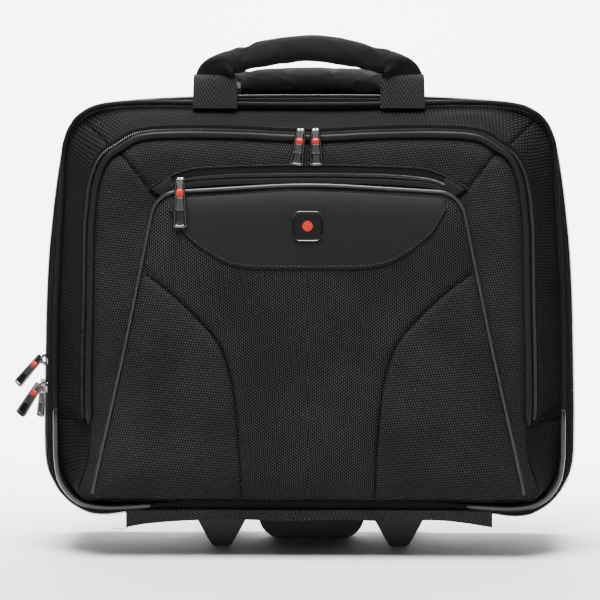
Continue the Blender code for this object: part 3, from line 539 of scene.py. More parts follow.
def grainGroup():
    # fine pebbled grain, broad unevenness and thin scuffs
    inputs = [("Vector", "NodeSocketVector", None), ("Grain", "NodeSocketFloat", 900.0)]
    outputs = [("Pebble", "NodeSocketFloat"), ("Cloud", "NodeSocketFloat"), ("Scuff", "NodeSocketFloat")]
    t, given, out = newGroup("surfaceGrain", inputs, outputs)
    vector = given.outputs["Vector"]
    cells = t.node(
        "ShaderNodeTexVoronoi", {"Vector": vector, "Scale": given.outputs["Grain"]}, feature="SMOOTH_F1"
    )
    cloud = t.node("ShaderNodeTexNoise", {"Vector": vector, "Scale": 14.0, "Detail": 4.0, "Roughness": 0.6})
    stretch = t.node(
        "ShaderNodeMapping", {"Vector": vector, "Scale": (60.0, 60.0, 900.0), "Rotation": (0.4, 0.7, 0.2)}
    )
    scuff = t.node("ShaderNodeTexNoise", {"Vector": stretch.outputs["Vector"], "Scale": 1.0, "Detail": 2.0})
    t.put(out.inputs["Pebble"], cells.outputs["Distance"])
    t.put(out.inputs["Cloud"], cloud.outputs["Fac"])
    t.put(out.inputs["Scuff"], t.fade(scuff.outputs["Fac"], 0.66, 0.78))
    return t.tree


def lintGroup():
    # sparse pale specks of dust and loose fibre
    t, given, out = newGroup(
        "lintSpecks", [("Vector", "NodeSocketVector", None)], [("Specks", "NodeSocketFloat")]
    )
    cells = t.node("ShaderNodeTexVoronoi", {"Vector": given.outputs["Vector"], "Scale": 260.0})
    pick = t.node("ShaderNodeTexWhiteNoise", {"Vector": cells.outputs["Position"]}, noise_dimensions="3D")
    dot = t.fade(cells.outputs["Distance"], 0.13, 0.05)
    t.put(out.inputs["Specks"], t.calc("MULTIPLY", dot, t.fade(pick.outputs["Value"], 0.985, 0.99)))
    return t.tree


weave, grain, lint = weaveGroup(), grainGroup(), lintGroup()


def newMaterial(name):
    made = bpy.data.materials.new(name)
    made.use_nodes = True
    tree = Tree(made.node_tree)
    return made, tree, made.node_tree.nodes["Principled BSDF"]


def useGroup(tree, group, inputs):
    made = tree.node("ShaderNodeGroup", node_tree=group)
    for key, value in inputs.items():
        tree.put(made.inputs[key], value)
    return made


def clothMaterial(
    name, dark, bright, pitch, turn=0.0, rough=0.72, depth=0.00035, step=0.5, fold=0.0, seamBumpAndShade=False,
    zone=None, upright=False,
):
    # woven cloth on the piece's own coordinates: thread weave, slight fading, lint, and seam creases as a
    # bump plus painted shade that darkens the colour along each seam
    made, t, shader = newMaterial(name)
    uv = t.node("ShaderNodeUVMap", uv_map="cloth").outputs["UV"]
    place = t.node("ShaderNodeTexCoord").outputs["Object"]
    if upright:
        flat = t.node("ShaderNodeSeparateXYZ", {"Vector": place})
        uv = t.node(
            "ShaderNodeCombineXYZ", {"X": flat.outputs["X"], "Y": flat.outputs["Z"]}
        ).outputs["Vector"]
    angle = turn
    if zone:
        side = t.node("ShaderNodeAttribute", attribute_name="zone").outputs["Fac"]
        inside = t.calc("GREATER_THAN", side, 0.0)
        angle = t.calc("ADD", t.calc("MULTIPLY", inside, zone - turn), turn)
    threads = useGroup(t, weave, {"Vector": uv, "Pitch": pitch, "Turn": angle, "Step": step, "Fold": fold})
    noise = useGroup(t, grain, {"Vector": place, "Grain": 700.0})
    height, gap, cloud = threads.outputs["Height"], threads.outputs["Gap"], noise.outputs["Cloud"]
    colour = t.blend(
        t.calc("MULTIPLY", height, t.fade(cloud, 0.3, 0.7, 0.55, 1.0)), (*dark, 1), (*bright, 1)
    )
    colour = t.blend(
        t.calc("MULTIPLY", gap, 0.85), colour, (dark[0] * 0.3, dark[1] * 0.3, dark[2] * 0.3, 1)
    )
    bump = height
    if seamBumpAndShade:
        # painted shade: near each seam line the colour darkens to a quarter, standing in for the shade in the
        # crease
        seam = t.node("ShaderNodeAttribute", attribute_name="seam").outputs["Fac"]
        paintedCreaseShade = t.fade(seam, 0.0002, 0.0016)
        colour = t.blend(
            t.calc("SUBTRACT", 1.0, paintedCreaseShade), colour, (dark[0] * 0.25, dark[1] * 0.25, dark[2] * 0.25, 1)
        )
        bump = t.calc("ADD", height, t.calc("MULTIPLY", t.fade(seam, 0.0, 0.0022), 3.0))
    specks = useGroup(t, lint, {"Vector": place})
    colour = t.blend(t.calc("MULTIPLY", specks.outputs["Specks"], 0.25), colour, (0.3, 0.3, 0.29, 1))
    normal = t.node("ShaderNodeBump", {"Height": bump, "Distance": depth, "Strength": 1.0})
    t.put(shader.inputs["Base Color"], colour)
    t.put(shader.inputs["Roughness"], t.fade(cloud, 0.3, 0.7, rough - 0.05, rough + 0.07))
    t.put(shader.inputs["Normal"], normal.outputs["Normal"])
    shader.inputs["Specular IOR Level"].default_value = 0.05
    return made


def hardMaterial(
    name, colour, rough, metal=0.0, grainSize=1500.0, depth=0.00004, scuffs=0.15, coat=0.0, shade=0.8,
    gloss=0.3,
):
    # moulded or plated: fine grain, uneven sheen and light scuffs
    made, t, shader = newMaterial(name)
    place = t.node("ShaderNodeTexCoord").outputs["Object"]
    noise = useGroup(t, grain, {"Vector": place, "Grain": grainSize})
    low = tuple(c * shade for c in colour)
    base = t.blend(t.fade(noise.outputs["Cloud"], 0.3, 0.7), (*low, 1), (*colour, 1))
    pale = tuple(min(1.0, c * 2.2 + 0.02) for c in colour)
    base = t.blend(t.calc("MULTIPLY", noise.outputs["Scuff"], scuffs), base, (*pale, 1))
    normal = t.node(
        "ShaderNodeBump", {"Height": noise.outputs["Pebble"], "Distance": depth, "Strength": 0.8}
    )
    t.put(shader.inputs["Base Color"], base)
    t.put(shader.inputs["Roughness"], t.fade(noise.outputs["Cloud"], 0.3, 0.7, rough - 0.05, rough + 0.08))
    t.put(shader.inputs["Normal"], normal.outputs["Normal"])
    shader.inputs["Metallic"].default_value = metal
    shader.inputs["Specular IOR Level"].default_value = gloss
    shader.inputs["Coat Weight"].default_value = coat
    shader.inputs["Coat Roughness"].default_value = 0.15
    return made


cloths = {"dark": (0.0004, 0.0004, 0.0004), "bright": (0.0370, 0.0375, 0.0358), "pitch": 0.00170}
darkCloth, brightCloth, clothPitch = cloths["dark"], cloths["bright"], cloths["pitch"]
nylon = clothMaterial("ballisticNylon", darkCloth, brightCloth, clothPitch, math.radians(32), seamBumpAndShade=True)
nylonPocket = clothMaterial(
    "pocketNylon", darkCloth, brightCloth, clothPitch, math.radians(34), seamBumpAndShade=True, zone=math.radians(3)
)
# painted shade: the gusset gets a copy of the nylon at 0.55 of its colour, so its sloping sides look as dark
# as shaded cloth
shadedGussetDark, shadedGussetBright = tuple(c * 0.55 for c in darkCloth), tuple(c * 0.55 for c in brightCloth)
nylonGussetShaded = clothMaterial(
    "gussetNylonPaintedShade", shadedGussetDark, shadedGussetBright, clothPitch, math.radians(32), seamBumpAndShade=True
)
# painted light: the flap's nylon is about three times brighter than the rest, to lift it out of the shade
# under the case
nylonFlapLit = clothMaterial(
    "flapNylonPaintedLight", (0.004, 0.004, 0.004), (0.110, 0.110, 0.107), 0.0016, math.radians(8), upright=True
)
nylonPlain = clothMaterial("bandNylon", darkCloth, brightCloth, clothPitch, math.radians(34))
webbing = clothMaterial(
    "herringboneWebbing", (0.0025, 0.0026, 0.0025), (0.056, 0.0565, 0.0545), 0.0015, math.radians(38), 0.75,
    0.0003, 0.25, 1.0,
)
gripCloth = clothMaterial(
    "gripTwill", (0.0030, 0.0030, 0.0029), (0.0210, 0.0213, 0.0205), 0.0011, math.radians(45), 0.75, 0.0002,
    0.25,
)
pipingCloth = clothMaterial(
    "coveredPiping", (0.0020, 0.0020, 0.0019), (0.015, 0.0154, 0.0148), 0.0011, math.radians(30), 0.6,
    0.0002,
)
liningCloth = clothMaterial(
    "greyLining", (0.030, 0.030, 0.032), (0.055, 0.055, 0.058), 0.0007, 0.0, 0.7, 0.00012
)
tapeCloth = clothMaterial(
    "zipTape", (0.0025, 0.0026, 0.0026), (0.009, 0.0092, 0.0092), 0.0008, 0.0, 0.65, 0.00012
)
smoothPanel = hardMaterial(
    "smoothYoke", (0.0082, 0.0084, 0.0079), 0.6, grainSize=1400.0, depth=0.00010, scuffs=0.05, gloss=0.06
)
bindingBand = hardMaterial(
    "smoothBinding", (0.0055, 0.0057, 0.0055), 0.5, grainSize=1800.0, depth=0.00006, scuffs=0.05,
    gloss=0.10,
)
threadSurface = hardMaterial(
    "sewingThread", (0.013, 0.013, 0.0125), 0.5, grainSize=2500.0, depth=0.00005, scuffs=0.0
)
coilPlastic = hardMaterial(
    "coilPlastic", (0.020, 0.0205, 0.021), 0.30, grainSize=2500.0, depth=0.00002, scuffs=0.0
)
satinTrim = hardMaterial(
    "satinTrim", (0.009, 0.0093, 0.0093), 0.32, grainSize=2600.0, depth=0.00002, scuffs=0.1, gloss=0.38
)
satinGuard = hardMaterial(
    "satinGuard", (0.007, 0.0073, 0.0077), 0.26, grainSize=2200.0, depth=0.00003, gloss=0.5
)
moulded = hardMaterial(
    "mouldedPlastic", (0.0220, 0.0226, 0.0221), 0.5, grainSize=900.0, depth=0.00006, scuffs=0.2
)
gunmetal = hardMaterial(
    "gunmetalPlate", (0.075, 0.074, 0.072), 0.22, metal=1.0, grainSize=3000.0, depth=0.00001, scuffs=0.25
)
chrome = hardMaterial(
    "brightPlate", (0.24, 0.24, 0.24), 0.16, metal=1.0, grainSize=3000.0, depth=0.00001, scuffs=0.1
)
greyPlate = hardMaterial(
    "texturedPlate", (0.050, 0.050, 0.050), 0.4, metal=0.8, grainSize=1700.0, depth=0.00012, scuffs=0.1
)
redEnamel = hardMaterial(
    "redEnamel", (0.40, 0.010, 0.004), 0.35, grainSize=2000.0, depth=0.00001, scuffs=0.05, gloss=0.15
)
blackEnamel = hardMaterial(
    "blackEnamel", (0.004, 0.004, 0.0045), 0.2, grainSize=2000.0, depth=0.00001, scuffs=0.05, gloss=0.3
)
darkField = hardMaterial(
    "badgeField", (0.0030, 0.0030, 0.0033), 0.45, grainSize=2000.0, depth=0.00001, scuffs=0.05, gloss=0.12
)
# painted shade colour, for the dark line under the yoke's edge
seamShade = hardMaterial(
    "paintedSeamShade", (0.0025, 0.0025, 0.0025), 0.7, grainSize=2000.0, depth=0.00001, scuffs=0.0, gloss=0.05
)
aluminium = hardMaterial(
    "anodisedTube", (0.42, 0.43, 0.44), 0.32, metal=1.0, grainSize=2500.0, depth=0.00001, scuffs=0.15
)
steel = hardMaterial("plainSteel", (0.50, 0.50, 0.50), 0.3, metal=1.0, grainSize=2500.0, depth=0.00001)
rubber = hardMaterial(
    "tyreRubber", (0.018, 0.018, 0.018), 0.62, grainSize=1200.0, depth=0.00008, scuffs=0.3
)
board = hardMaterial(
    "stiffenerBoard", (0.030, 0.030, 0.032), 0.6, grainSize=700.0, depth=0.00012, scuffs=0.1
)
print("materials made")

hardNodes = {
    moulded: ["wheel_base", "front_foot_left", "front_foot_right", "centre_foot", "wheel_housing_left"]
    + ["wheel_housing_right", "wheel_left_hub", "wheel_right_hub", "rear_guard_left", "rear_guard_right"]
    + ["lower_bracket", "handle_bezel", "middle_collar", "grip_base", "grip_cover", "release_button"],
    aluminium: [
        f"{stage}_tube_{side}"
        for stage in ("outer", "middle", "inner") for side in ("left", "right")
    ],
    steel: ["axle_left", "axle_right", "release_yoke"],
    rubber: ["wheel_left_tyre", "wheel_right_tyre"],
    board: ["back_board", "tube_cover"],
}
for surface, names in hardNodes.items():
    for name in names:
        slots = frame["nodes"][name].data.materials
        slots.clear()
        slots.append(surface)

# Main section: a deep open tray with a soft back

rearBag = {"wall": 0.0042, "backSwell": 0.0035, "sideSwell": 0.0010, "backRadius": 0.010, "faceRings": 34}


def swell(points, loop, amount, low, high, sidesOnly=True):
    # the walls bow outwards between two depths, most in the middle; the foot stays flat
    depth = np.clip((points[..., 1] - low) / (high - low), 0, 1)
    normal = loopNormal(loop)
    bow = np.sin(math.pi * depth) * amount
    mask = np.clip(
        np.abs(normal[:, 0]) * 1.4 - 0.2, 0, 1
    ) if sidesOnly else np.clip(1 + 2 * normal[:, 1], 0, 1)
    points[..., 0] += bow * mask * normal[:, 0]
    points[..., 2] += bow * mask * normal[:, 1]
    return points


def trayUv(points, split):
    # lengths round the loop and along the wall; on the flat faces, plain width and height
    wide = np.concatenate([points, points[:, :1]], 1)
    uv = arcLengths(wide)
    for rows in split:
        uv[rows] = wide[rows][..., [0, 2]]
    return uv


def makeRearBag():
    low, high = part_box("rear_shell")
    s, front, back = rearBag, low.y + 0.0004, high.y
    loop = caseLoop()
    face = np.linspace(0.030, 0.985, s["faceRings"])
    innerBack = back - s["wall"] - 0.0003
    wall, radius = s["wall"], s["backRadius"]
    inner = [(d, innerBack) for d in face[::-1]] + [(d, innerBack) for d in (0.022, 0.014)]
    inner += [(wall + 0.004, innerBack - 0.001), (wall, innerBack - 0.006)]
    inner += [(wall, y) for y in np.linspace(innerBack - 0.012, front + 0.004, 12)]
    rim = [
        (wall * 0.8, front + 0.001), (wall * 0.5, front), (0.0010, front + 0.0003), (0.0002, front + 0.002)
    ]
    outer = [(0.0, y) for y in np.linspace(front + 0.004, back - radius, 26)]
    turn = np.linspace(0.2, math.pi / 2, 6)
    bend = [(radius * (1 - math.cos(a)), back - radius * (1 - math.sin(a))) for a in turn]
    outside = [(d, back) for d in np.concatenate([[0.013, 0.017, 0.022], face])]
    profile = np.array(inner + rim + outer + bend + outside)
    points = atDepth(insetRings(loop, profile[:, 0]), profile[:, 1])
    firstOut = len(inner) + len(rim)
    points[firstOut:] = swell(points[firstOut:], loop, s["sideSwell"], front, back)
    backRows = slice(len(profile) - len(outside), None)
    x, z = points[backRows, :, 0], points[backRows, :, 2]
    crown = np.clip(1 - (x / 0.225) ** 2, 0, 1) * np.clip(1 - ((z - 0.215) / 0.185) ** 2, 0, 1)
    points[
        backRows, :, 1
    ] += crown * s["backSwell"] + ripple(x, z, 3, 0.16) * 0.0007 * np.minimum(1, crown * 4)
    uv = trayUv(points, [slice(0, s["faceRings"] + 2), backRows])
    edge = caseLoop(0.016)
    lines = [np.stack([edge[:, 0], edge[:, 1]], 1)]
    seam = np.full(points.shape[:2], 1.0)
    seam[backRows] = seamDistance(points[backRows], lines)
    made = gridMesh("rearBag", points, uv, closeU=True, poles=(True, True), fields={"seam": seam})
    bezelLow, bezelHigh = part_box("handle_bezel")
    slot = ((-0.0706, bezelLow.y + 0.0016, 0.375), (0.0706, bezelHigh.y - 0.0008, 0.41))
    wells = []
    for side in ("left", "right"):
        a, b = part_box(f"wheel_housing_{side}")
        wells.append(((a.x - 0.0004, a.y - 0.0004, 0.02), (b.x + 0.0004, b.y + 0.02, b.z + 0.0004)))
    return cutAway(made, [slot] + wells)


settle(makeRearBag(), nylon, "case", "rear_shell")
print("main section made")

# Laptop section: a shallow tray with a divider for its back

laptopBag = {"wall": 0.0040, "sideSwell": 0.0008, "faceRings": 26}


def makeLaptopBag():
    low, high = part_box("laptop_shell")
    front, back, s = low.y, high.y, laptopBag
    loop = caseLoop()
    wall, divider = s["wall"], back - 0.0052
    face = np.linspace(0.030, 0.985, s["faceRings"])
    inner = [(d, divider) for d in face[::-1]] + [
        (0.018, divider), (wall + 0.003, divider), (wall, divider - 0.003)
    ]
    inner += [(wall, y) for y in np.linspace(divider - 0.007, front + 0.003, 7)]
    rim = [(wall * 0.7, front + 0.0005), (0.0016, front + 0.0002), (0.0004, front + 0.001)]
    outer = [(0.0002, y) for y in np.linspace(front + 0.003, back - 0.002, 14)]
    outside = [(0.0012, back - 0.0002)] + [(d, back) for d in np.concatenate([[0.006, 0.018], face])]
    profile = np.array(inner + rim + outer + outside)
    points = atDepth(insetRings(loop, profile[:, 0]), profile[:, 1])
    rows = slice(len(inner) + len(rim), len(inner) + len(rim) + len(outer))
    points[rows] = swell(points[rows], loop, s["sideSwell"], front, back, sidesOnly=False)
    uv = trayUv(points, [slice(0, s["faceRings"] + 1), slice(len(profile) - len(outside), None)])
    return gridMesh(
        "laptopBag", points, uv, closeU=True, poles=(True, True),
        fields={"seam": np.ones(points.shape[:2])},
    )


settle(makeLaptopBag(), nylon, "laptop_section", "laptop_shell")

# Front section: a tray whose sides slope in to the lid

gusset = {
    "wall": 0.0035, "sag": 0.0016, "rows": 22, "cornerSeams": [(0.1922, 0.3712), (0.1662, 0.3472)],
    "seamHeight": 0.1163,
}


def gussetMouth(count, spread=0.0):
    # outside the organiser zip; below its ends the cloth runs on to the lid's own edge
    loop = evenly(lidOutline, count, closed=True)
    normal = loopNormal(loop)
    side = 0.0036 + 0.0032 * np.abs(normal[:, :1]) ** 2 + spread
    above = np.clip((loop[:, 1:] - gusset["seamHeight"] + 0.0008) / 0.0016, 0, 1)
    return loop + normal * (side * above + (0.0008 + spread) * (1 - above))


def makeGusset():
    low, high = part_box("front_shell")
    back, front = high.y, low.y
    n, s = 640, gusset
    wide, lid = evenly(pipingOutline, n, closed=True), gussetMouth(n)
    wide = wide - loopNormal(wide) * 0.0012
    depths = [back, back, back, back - 0.001, back - 0.003, back - 0.0042]
    flange = atDepth(insetRings(caseLoop(count=n), [0.03, 0.012, 0.002, 0.0006, 0.0012, 0.0035]), depths)
    t = np.linspace(0, 1, s["rows"])
    y = (back - 0.0052) + (front - back + 0.0052) * t
    mix = (t + 0.05 * np.sin(math.pi * t))[:, None, None]
    slope = atDepth(wide + (lid - wide) * mix, y)
    normal = loopNormal(wide)
    sag = np.sin(math.pi * t)[:, None] * s["sag"]
    around = np.arange(n) / n * 2 * math.pi
    fold = 1 + 0.35 * np.sin(9 * around + 1.3) + 0.25 * np.sin(17 * around)
    slope[..., 0] -= sag * fold * normal[:, 0]
    slope[..., 2] -= sag * fold * normal[:, 1]
    lip = atDepth(
        np.stack([gussetMouth(n, -0.0009), gussetMouth(n, -0.0018)]), [front - 0.0004, front + 0.0008]
    )
    inward = evenly(lidOutline, n, closed=True) - loopNormal(evenly(lidOutline, n, closed=True)) * 0.004
    floor = back - 0.0042
    tu = np.linspace(0.05, 1, 8)
    deepLoop = caseLoop(0.016, count=n)
    inner = atDepth(inward + (deepLoop - inward) * tu[:, None, None], front + (floor - front) * tu)
    inner[..., 2] = np.maximum(inner[..., 2], 0.0540)
    face = np.concatenate([[0.02], np.linspace(0.03, 0.985, 20)])
    bottom = atDepth(insetRings(deepLoop, face), np.full(len(face), floor))
    bottom[..., 2] = np.maximum(bottom[..., 2], 0.0540)
    outsideFace = atDepth(insetRings(caseLoop(count=n), np.linspace(0.985, 0.04, 16)), np.full(16, back))
    points = np.concatenate([outsideFace, flange, slope, lip, inner, bottom])
    seam = np.full(points.shape[:2], 1.0)
    first = len(outsideFace) + len(flange)
    corners = [np.array(s["cornerSeams"]) * (side, 1) for side in (-1, 1)]
    corners += [
        np.array([(side * 0.184, s["seamHeight"]), (side * 0.214, s["seamHeight"] - 0.0004)])
        for side in (-1, 1)
    ]
    rows = slice(first, first + len(slope))
    seam[rows] = seamDistance(points[rows], corners)
    points[rows, :, 1] += 0.0012 * np.exp(-((seam[rows] / 0.0022) ** 2))
    uv = trayUv(points, [slice(0, len(outsideFace)), slice(len(points) - len(bottom), None)])
    return gridMesh("frontGusset", points, uv, closeU=True, poles=(True, True), fields={"seam": seam})


settle(makeGusset(), nylonGussetShaded, "front_section", "front_shell")
print("sections made")

# Lid and flat pocket, as one rolling face

lidFace = {"crown": 0.0022, "edgeRoll": 0.0060, "rollWidth": 0.012, "ripple": 0.0007, "rings": 84}
pocketFace = {"lift": 0.0052, "edge": 0.010, "crown": 0.0016, "ripple": 0.0008, "rings": 92}
lidLow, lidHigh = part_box("lid_panel")
pocketLow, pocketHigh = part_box("pocket_panel")


def edgeDistance(x, z, loop):
    closed = np.concatenate([loop, loop[:1]])[::4]
    found = np.zeros(x.size)
    flatX, flatZ = x.ravel(), z.ravel()
    for part in np.array_split(np.arange(x.size), max(1, x.size // 15000)):
        found[part] = np.abs(lineDistance(flatX[part], flatZ[part], closed))
    return found.reshape(x.shape)


panelLoop = lidLoop(0.0006)


def lidDepth(x, z, away=None):
    # how far forward the lid's face stands: crowned, and rolled back along its edge
    s = lidFace
    away = edgeDistance(x, z, panelLoop) if away is None else away
    roll = np.exp(-((away / s["rollWidth"]) ** 1.4) * 2.2) * s["edgeRoll"]
    crown = s["crown"] * np.clip(1 - (x / 0.2) ** 2, 0, 1) * np.clip(1 - ((z - 0.2) / 0.17) ** 2, 0, 1)
    return lidLow.y - crown + roll + ripple(x, z, 11, 0.12) * s["ripple"]


pocketFoot = pocketLow.z


def pocketLoop(inset=0.0, count=460):
    half = [(0.1815 - inset, pocketFoot), (0.1530 - inset, 0.180), (0.1263 - inset, 0.3083 - inset)]
    corners = [(0, pocketFoot)] + half + [(0, 0.3160 - inset)] + [(-x, z) for x, z in half[::-1]]
    r = 0.022 - inset
    return roundedLoop(corners, [0, 0.002, 0.25, r, 0.6, r, 0.25, 0.002], count)


pocketEdge = pocketLoop()
pocketHalf, pocketTall = 0.1815, 0.3160 - pocketFoot


def onPocket(shares):
    return np.array([(a * pocketHalf, pocketFoot + b * pocketTall) for a, b in shares])


curveShares = [
    (0.775, 0.725), (0.700, 0.693), (0.602, 0.638), (0.512, 0.578), (0.41, 0.492), (0.352, 0.369)
]
curveShares += [(0.328, 0.236), (0.316, 0.12), (0.31, 0.0)]
curveSeams = [smoothLine(onPocket(curveShares) * (side, 1), 60) for side in (-1, 1)]
cornerSeams = [
    np.array([(side * 0.1600, 0.3465), (side * 0.1338, 0.3136), (side * 0.1225, 0.3050)])
    for side in (-1, 1)
]


def pocketDepth(x, z, away=None, seam=None):
    # the pocket's face: the lid's face lifted inside its edge, puffed a little between seams
    s = pocketFace
    away = edgeDistance(x, z, pocketEdge) if away is None else away
    lift = s["lift"] * (1 - np.exp(-((away / s["edge"]) ** 1.3)))
    crown = s["crown"] * np.clip(1 - (x / 0.17) ** 2, 0, 1)
    depth = lidDepth(x, z, np.full(x.shape, 0.05)) - lift - crown * (lift / s["lift"])
    depth += ripple(x, z, 23, 0.10) * s["ripple"]
    if seam is None:
        seam = np.min([np.abs(lineDistance(x, z, line)) for line in curveSeams], axis=0)
    return depth + 0.0016 * np.exp(-((seam / 0.0028) ** 2)) - 0.0011 * (1 - np.exp(-seam / 0.02))


def makeLid():
    shares = np.concatenate(
        [
            [0, 0.004, 0.009, 0.016, 0.025, 0.036, 0.05, 0.066, 0.084],
            np.linspace(0.103, 0.985, lidFace["rings"]),
        ]
    )
    face = 0.001 + shares * 0.984
    face[0] = 0
    rings = insetRings(panelLoop, face, limit=0.001)
    away = edgeDistance(rings[..., 0], rings[..., 1], panelLoop)
    flat = atDepth(rings, np.zeros(len(face)))
    seam = seamDistance(flat, cornerSeams)
    groove = 0.0016 * np.exp(-((seam / 0.003) ** 2))
    front = flat.copy()
    front[..., 1] = lidDepth(rings[..., 0], rings[..., 1], away) + groove
    backY = lidHigh.y - 0.0004
    side = atDepth(insetRings(panelLoop, [-0.0004, 0.0]), [backY - 0.0035, backY - 0.0010])
    back = atDepth(insetRings(panelLoop, [0.001, 0.03, 0.4, 0.985], limit=0.001), [backY] * 4)
    points = np.concatenate([back[::-1], side[::-1], front])
    seam = np.concatenate([np.ones((6, rings.shape[1])), seam])
    uv = np.concatenate([points, points[:, :1]], 1)[..., [0, 2]]
    return gridMesh("lidPanel", points, uv, closeU=True, poles=(True, True), fields={"seam": seam})


def makePocket():
    shares = np.concatenate(
        [
            [0, 0.003, 0.008, 0.015, 0.024, 0.035, 0.05, 0.068, 0.088, 0.11],
            np.linspace(0.125, 0.985, pocketFace["rings"]),
        ]
    )
    face = 0.0006 + shares * 0.9844
    face[0] = 0
    rings = insetRings(pocketEdge, face, limit=0.0006)
    away = edgeDistance(rings[..., 0], rings[..., 1], pocketEdge)
    flat = atDepth(rings, np.zeros(len(face)))
    seam = seamDistance(flat, curveSeams)
    front = flat.copy()
    front[..., 1] = pocketDepth(rings[..., 0], rings[..., 1], away, seam)
    base = lidDepth(rings[:1, :, 0], rings[:1, :, 1], np.full((1, rings.shape[1]), 0.05))[0]
    lip = atDepth(insetRings(pocketEdge, [0.0, 0.02], limit=0.0006), [0, 0])
    lip[0, :, 1], lip[1, :, 1] = base + 0.0012, base + 0.0016
    back = atDepth(insetRings(pocketEdge, [0.05, 0.5, 0.985], limit=0.0006), [0, 0, 0])
    back[..., 1] = lidDepth(back[..., 0], back[..., 2], np.full(back.shape[:2], 0.05)) + 0.0012
    points = np.concatenate([back[::-1], lip[::-1], front])
    spread = np.concatenate([np.ones((5, rings.shape[1])), seam])
    curve = curveSeams[1][np.argsort(curveSeams[1][:, 1])]
    middle = np.interp(points[..., 2], curve[:, 1], curve[:, 0]) - np.abs(points[..., 0])
    uv = np.concatenate([points, points[:, :1]], 1)[..., [0, 2]]
    return gridMesh(
        "pocketPanel", points, uv, closeU=True, poles=(True, True), fields={"seam": spread, "zone": middle}
    )


settle(makeLid(), nylon, "lid", "lid_panel")
settle(makePocket(), nylonPocket, "lid", "pocket_panel")
print("lid and pocket made")

# Smooth yoke at the pocket's top

yoke = {
    "thickness": 0.0011,
    "drop": [
        (0.640, 0.925), (0.568, 0.845), (0.470, 0.790), (0.375, 0.7535), (0.300, 0.7410), (0.220, 0.7365)
    ],
    "middle": (0, 0.735),
    "rings": 40,
}


def makeYoke():
    half = onPocket(yoke["drop"])
    low = smoothLine(np.concatenate([half * (-1, 1), onPocket([yoke["middle"]]), half[::-1]]), 160)
    top = pocketLoop(0.0035)
    arch = top[(top[:, 1] > low[0, 1]) & (np.abs(top[:, 0]) < 0.117)]
    corners = np.concatenate([arch[np.argsort(-arch[:, 0])], low])
    loop = evenly(corners, 300, closed=True)
    normal = loopNormal(loop)
    if (normal * (loop - loop.mean(0))).sum() < 0:
        loop = loop[::-1]
    face = np.concatenate([[0.0003, 0, 0, 0.0004, 0.0012], np.linspace(0.003, 0.985, yoke["rings"])])
    proud = np.concatenate(
        [[-0.0006, 0.0, 0.0006, 0.0010, 0.0011], np.full(yoke["rings"], yoke["thickness"])]
    )
    rings = insetRings(loop, face, limit=0.002)
    points = atDepth(rings, np.zeros(len(face)))
    points[..., 1] = pocketDepth(rings[..., 0], rings[..., 1]) - proud[:, None] + 0.0002
    back = points[:1] * (1, 1, 1)
    inner = atDepth(insetRings(loop, [0.6, 0.2], limit=0.002), [0, 0])
    inner[..., 1] = pocketDepth(inner[..., 0], inner[..., 2]) + 0.0010
    points = np.concatenate([inner, back + (0, 0.0004, 0), points])
    made = gridMesh("pocketYoke", points, closeU=True, poles=(True, True), sharp=60)
    sewn = evenly(low + (0, 0.0024), 240)
    return made, sewn


yokePiece, yokeLine = makeYoke()
settle(yokePiece, smoothPanel, "lid")


def onFace(line, proud, depth=pocketDepth):
    # a line of (x, z) points laid on a face, standing proud of it
    y = depth(line[:, 0], line[:, 1]) - proud
    return np.stack([line[:, 0], y, line[:, 1]], 1)


# painted shade: a thin dark cord along the yoke's lower edge stands in for the shade where the yoke overlaps
# the pocket
yokeShadeLine = sweep(
    "yokeShadeLine", onFace(yokeLine - (0, 0.0026), 0.0003), ovalSection(0.0006, 0.0006, 8), (0, -1, 0)
)
settle(yokeShadeLine, seamShade, "lid")
settle(
    stitches("yokeStitches", onFace(yokeLine, 0.0011), (0, -1, 0)), threadSurface, "lid"
)

# Trim piping round the pocket

trim = {"radius": 0.0017, "inset": -0.0016, "proud": 0.0016}


def makeTrim():
    loop = pocketLoop(trim["inset"], 700)
    keep = loop[:, 1] > pocketFoot + 0.0015
    line = np.concatenate([loop[keep][loop[keep][:, 0] > 0], loop[keep][loop[keep][:, 0] <= 0]])
    order = np.argsort(np.arctan2(line[:, 0] - 0, line[:, 1] - 0.15))[::-1]
    line = line[order]
    y = lidDepth(line[:, 0], line[:, 1], np.full(len(line), 0.05)) - trim["proud"]
    path = evenly(np.stack([line[:, 0], y, line[:, 1]], 1), 620)
    wobble = 1 + 0.03 * np.sin(np.arange(len(path)) * 0.9) * np.sin(np.arange(len(path)) * 0.13)
    return sweep(
        "pocketTrim", path, ovalSection(trim["radius"], trim["radius"], 12), (0, -1, 0), scale=wobble
    )


settle(makeTrim(), satinTrim, "lid", "trim_piping")

# Pocket zip: tape, coil, end tabs

pocketZip = {"coilWidth": 0.0026, "coilHeight": 0.0016, "pitch": 0.0011, "tapeRise": 0.0058, "half": 0.110}


zipTop = [
    (-0.1338, 0.3136), (-0.1168, 0.3229), (-0.104, 0.3281), (-0.091, 0.3306), (-0.05, 0.3324), (0, 0.3332)
]
zipCoil = [
    (-0.1215, 0.3110), (-0.1110, 0.3180), (-0.098, 0.3215), (-0.068, 0.3243), (-0.03, 0.3252), (0, 0.3254)
]
zipFoot = [
    (-0.1190, 0.3070), (-0.1090, 0.3140), (-0.096, 0.3172), (-0.068, 0.3192), (-0.03, 0.3201), (0, 0.3203)
]


def bothSides(half, count):
    line = smoothLine(half, 200)
    return evenly(np.concatenate([line, line[-2::-1] * (-1, 1)]), count)


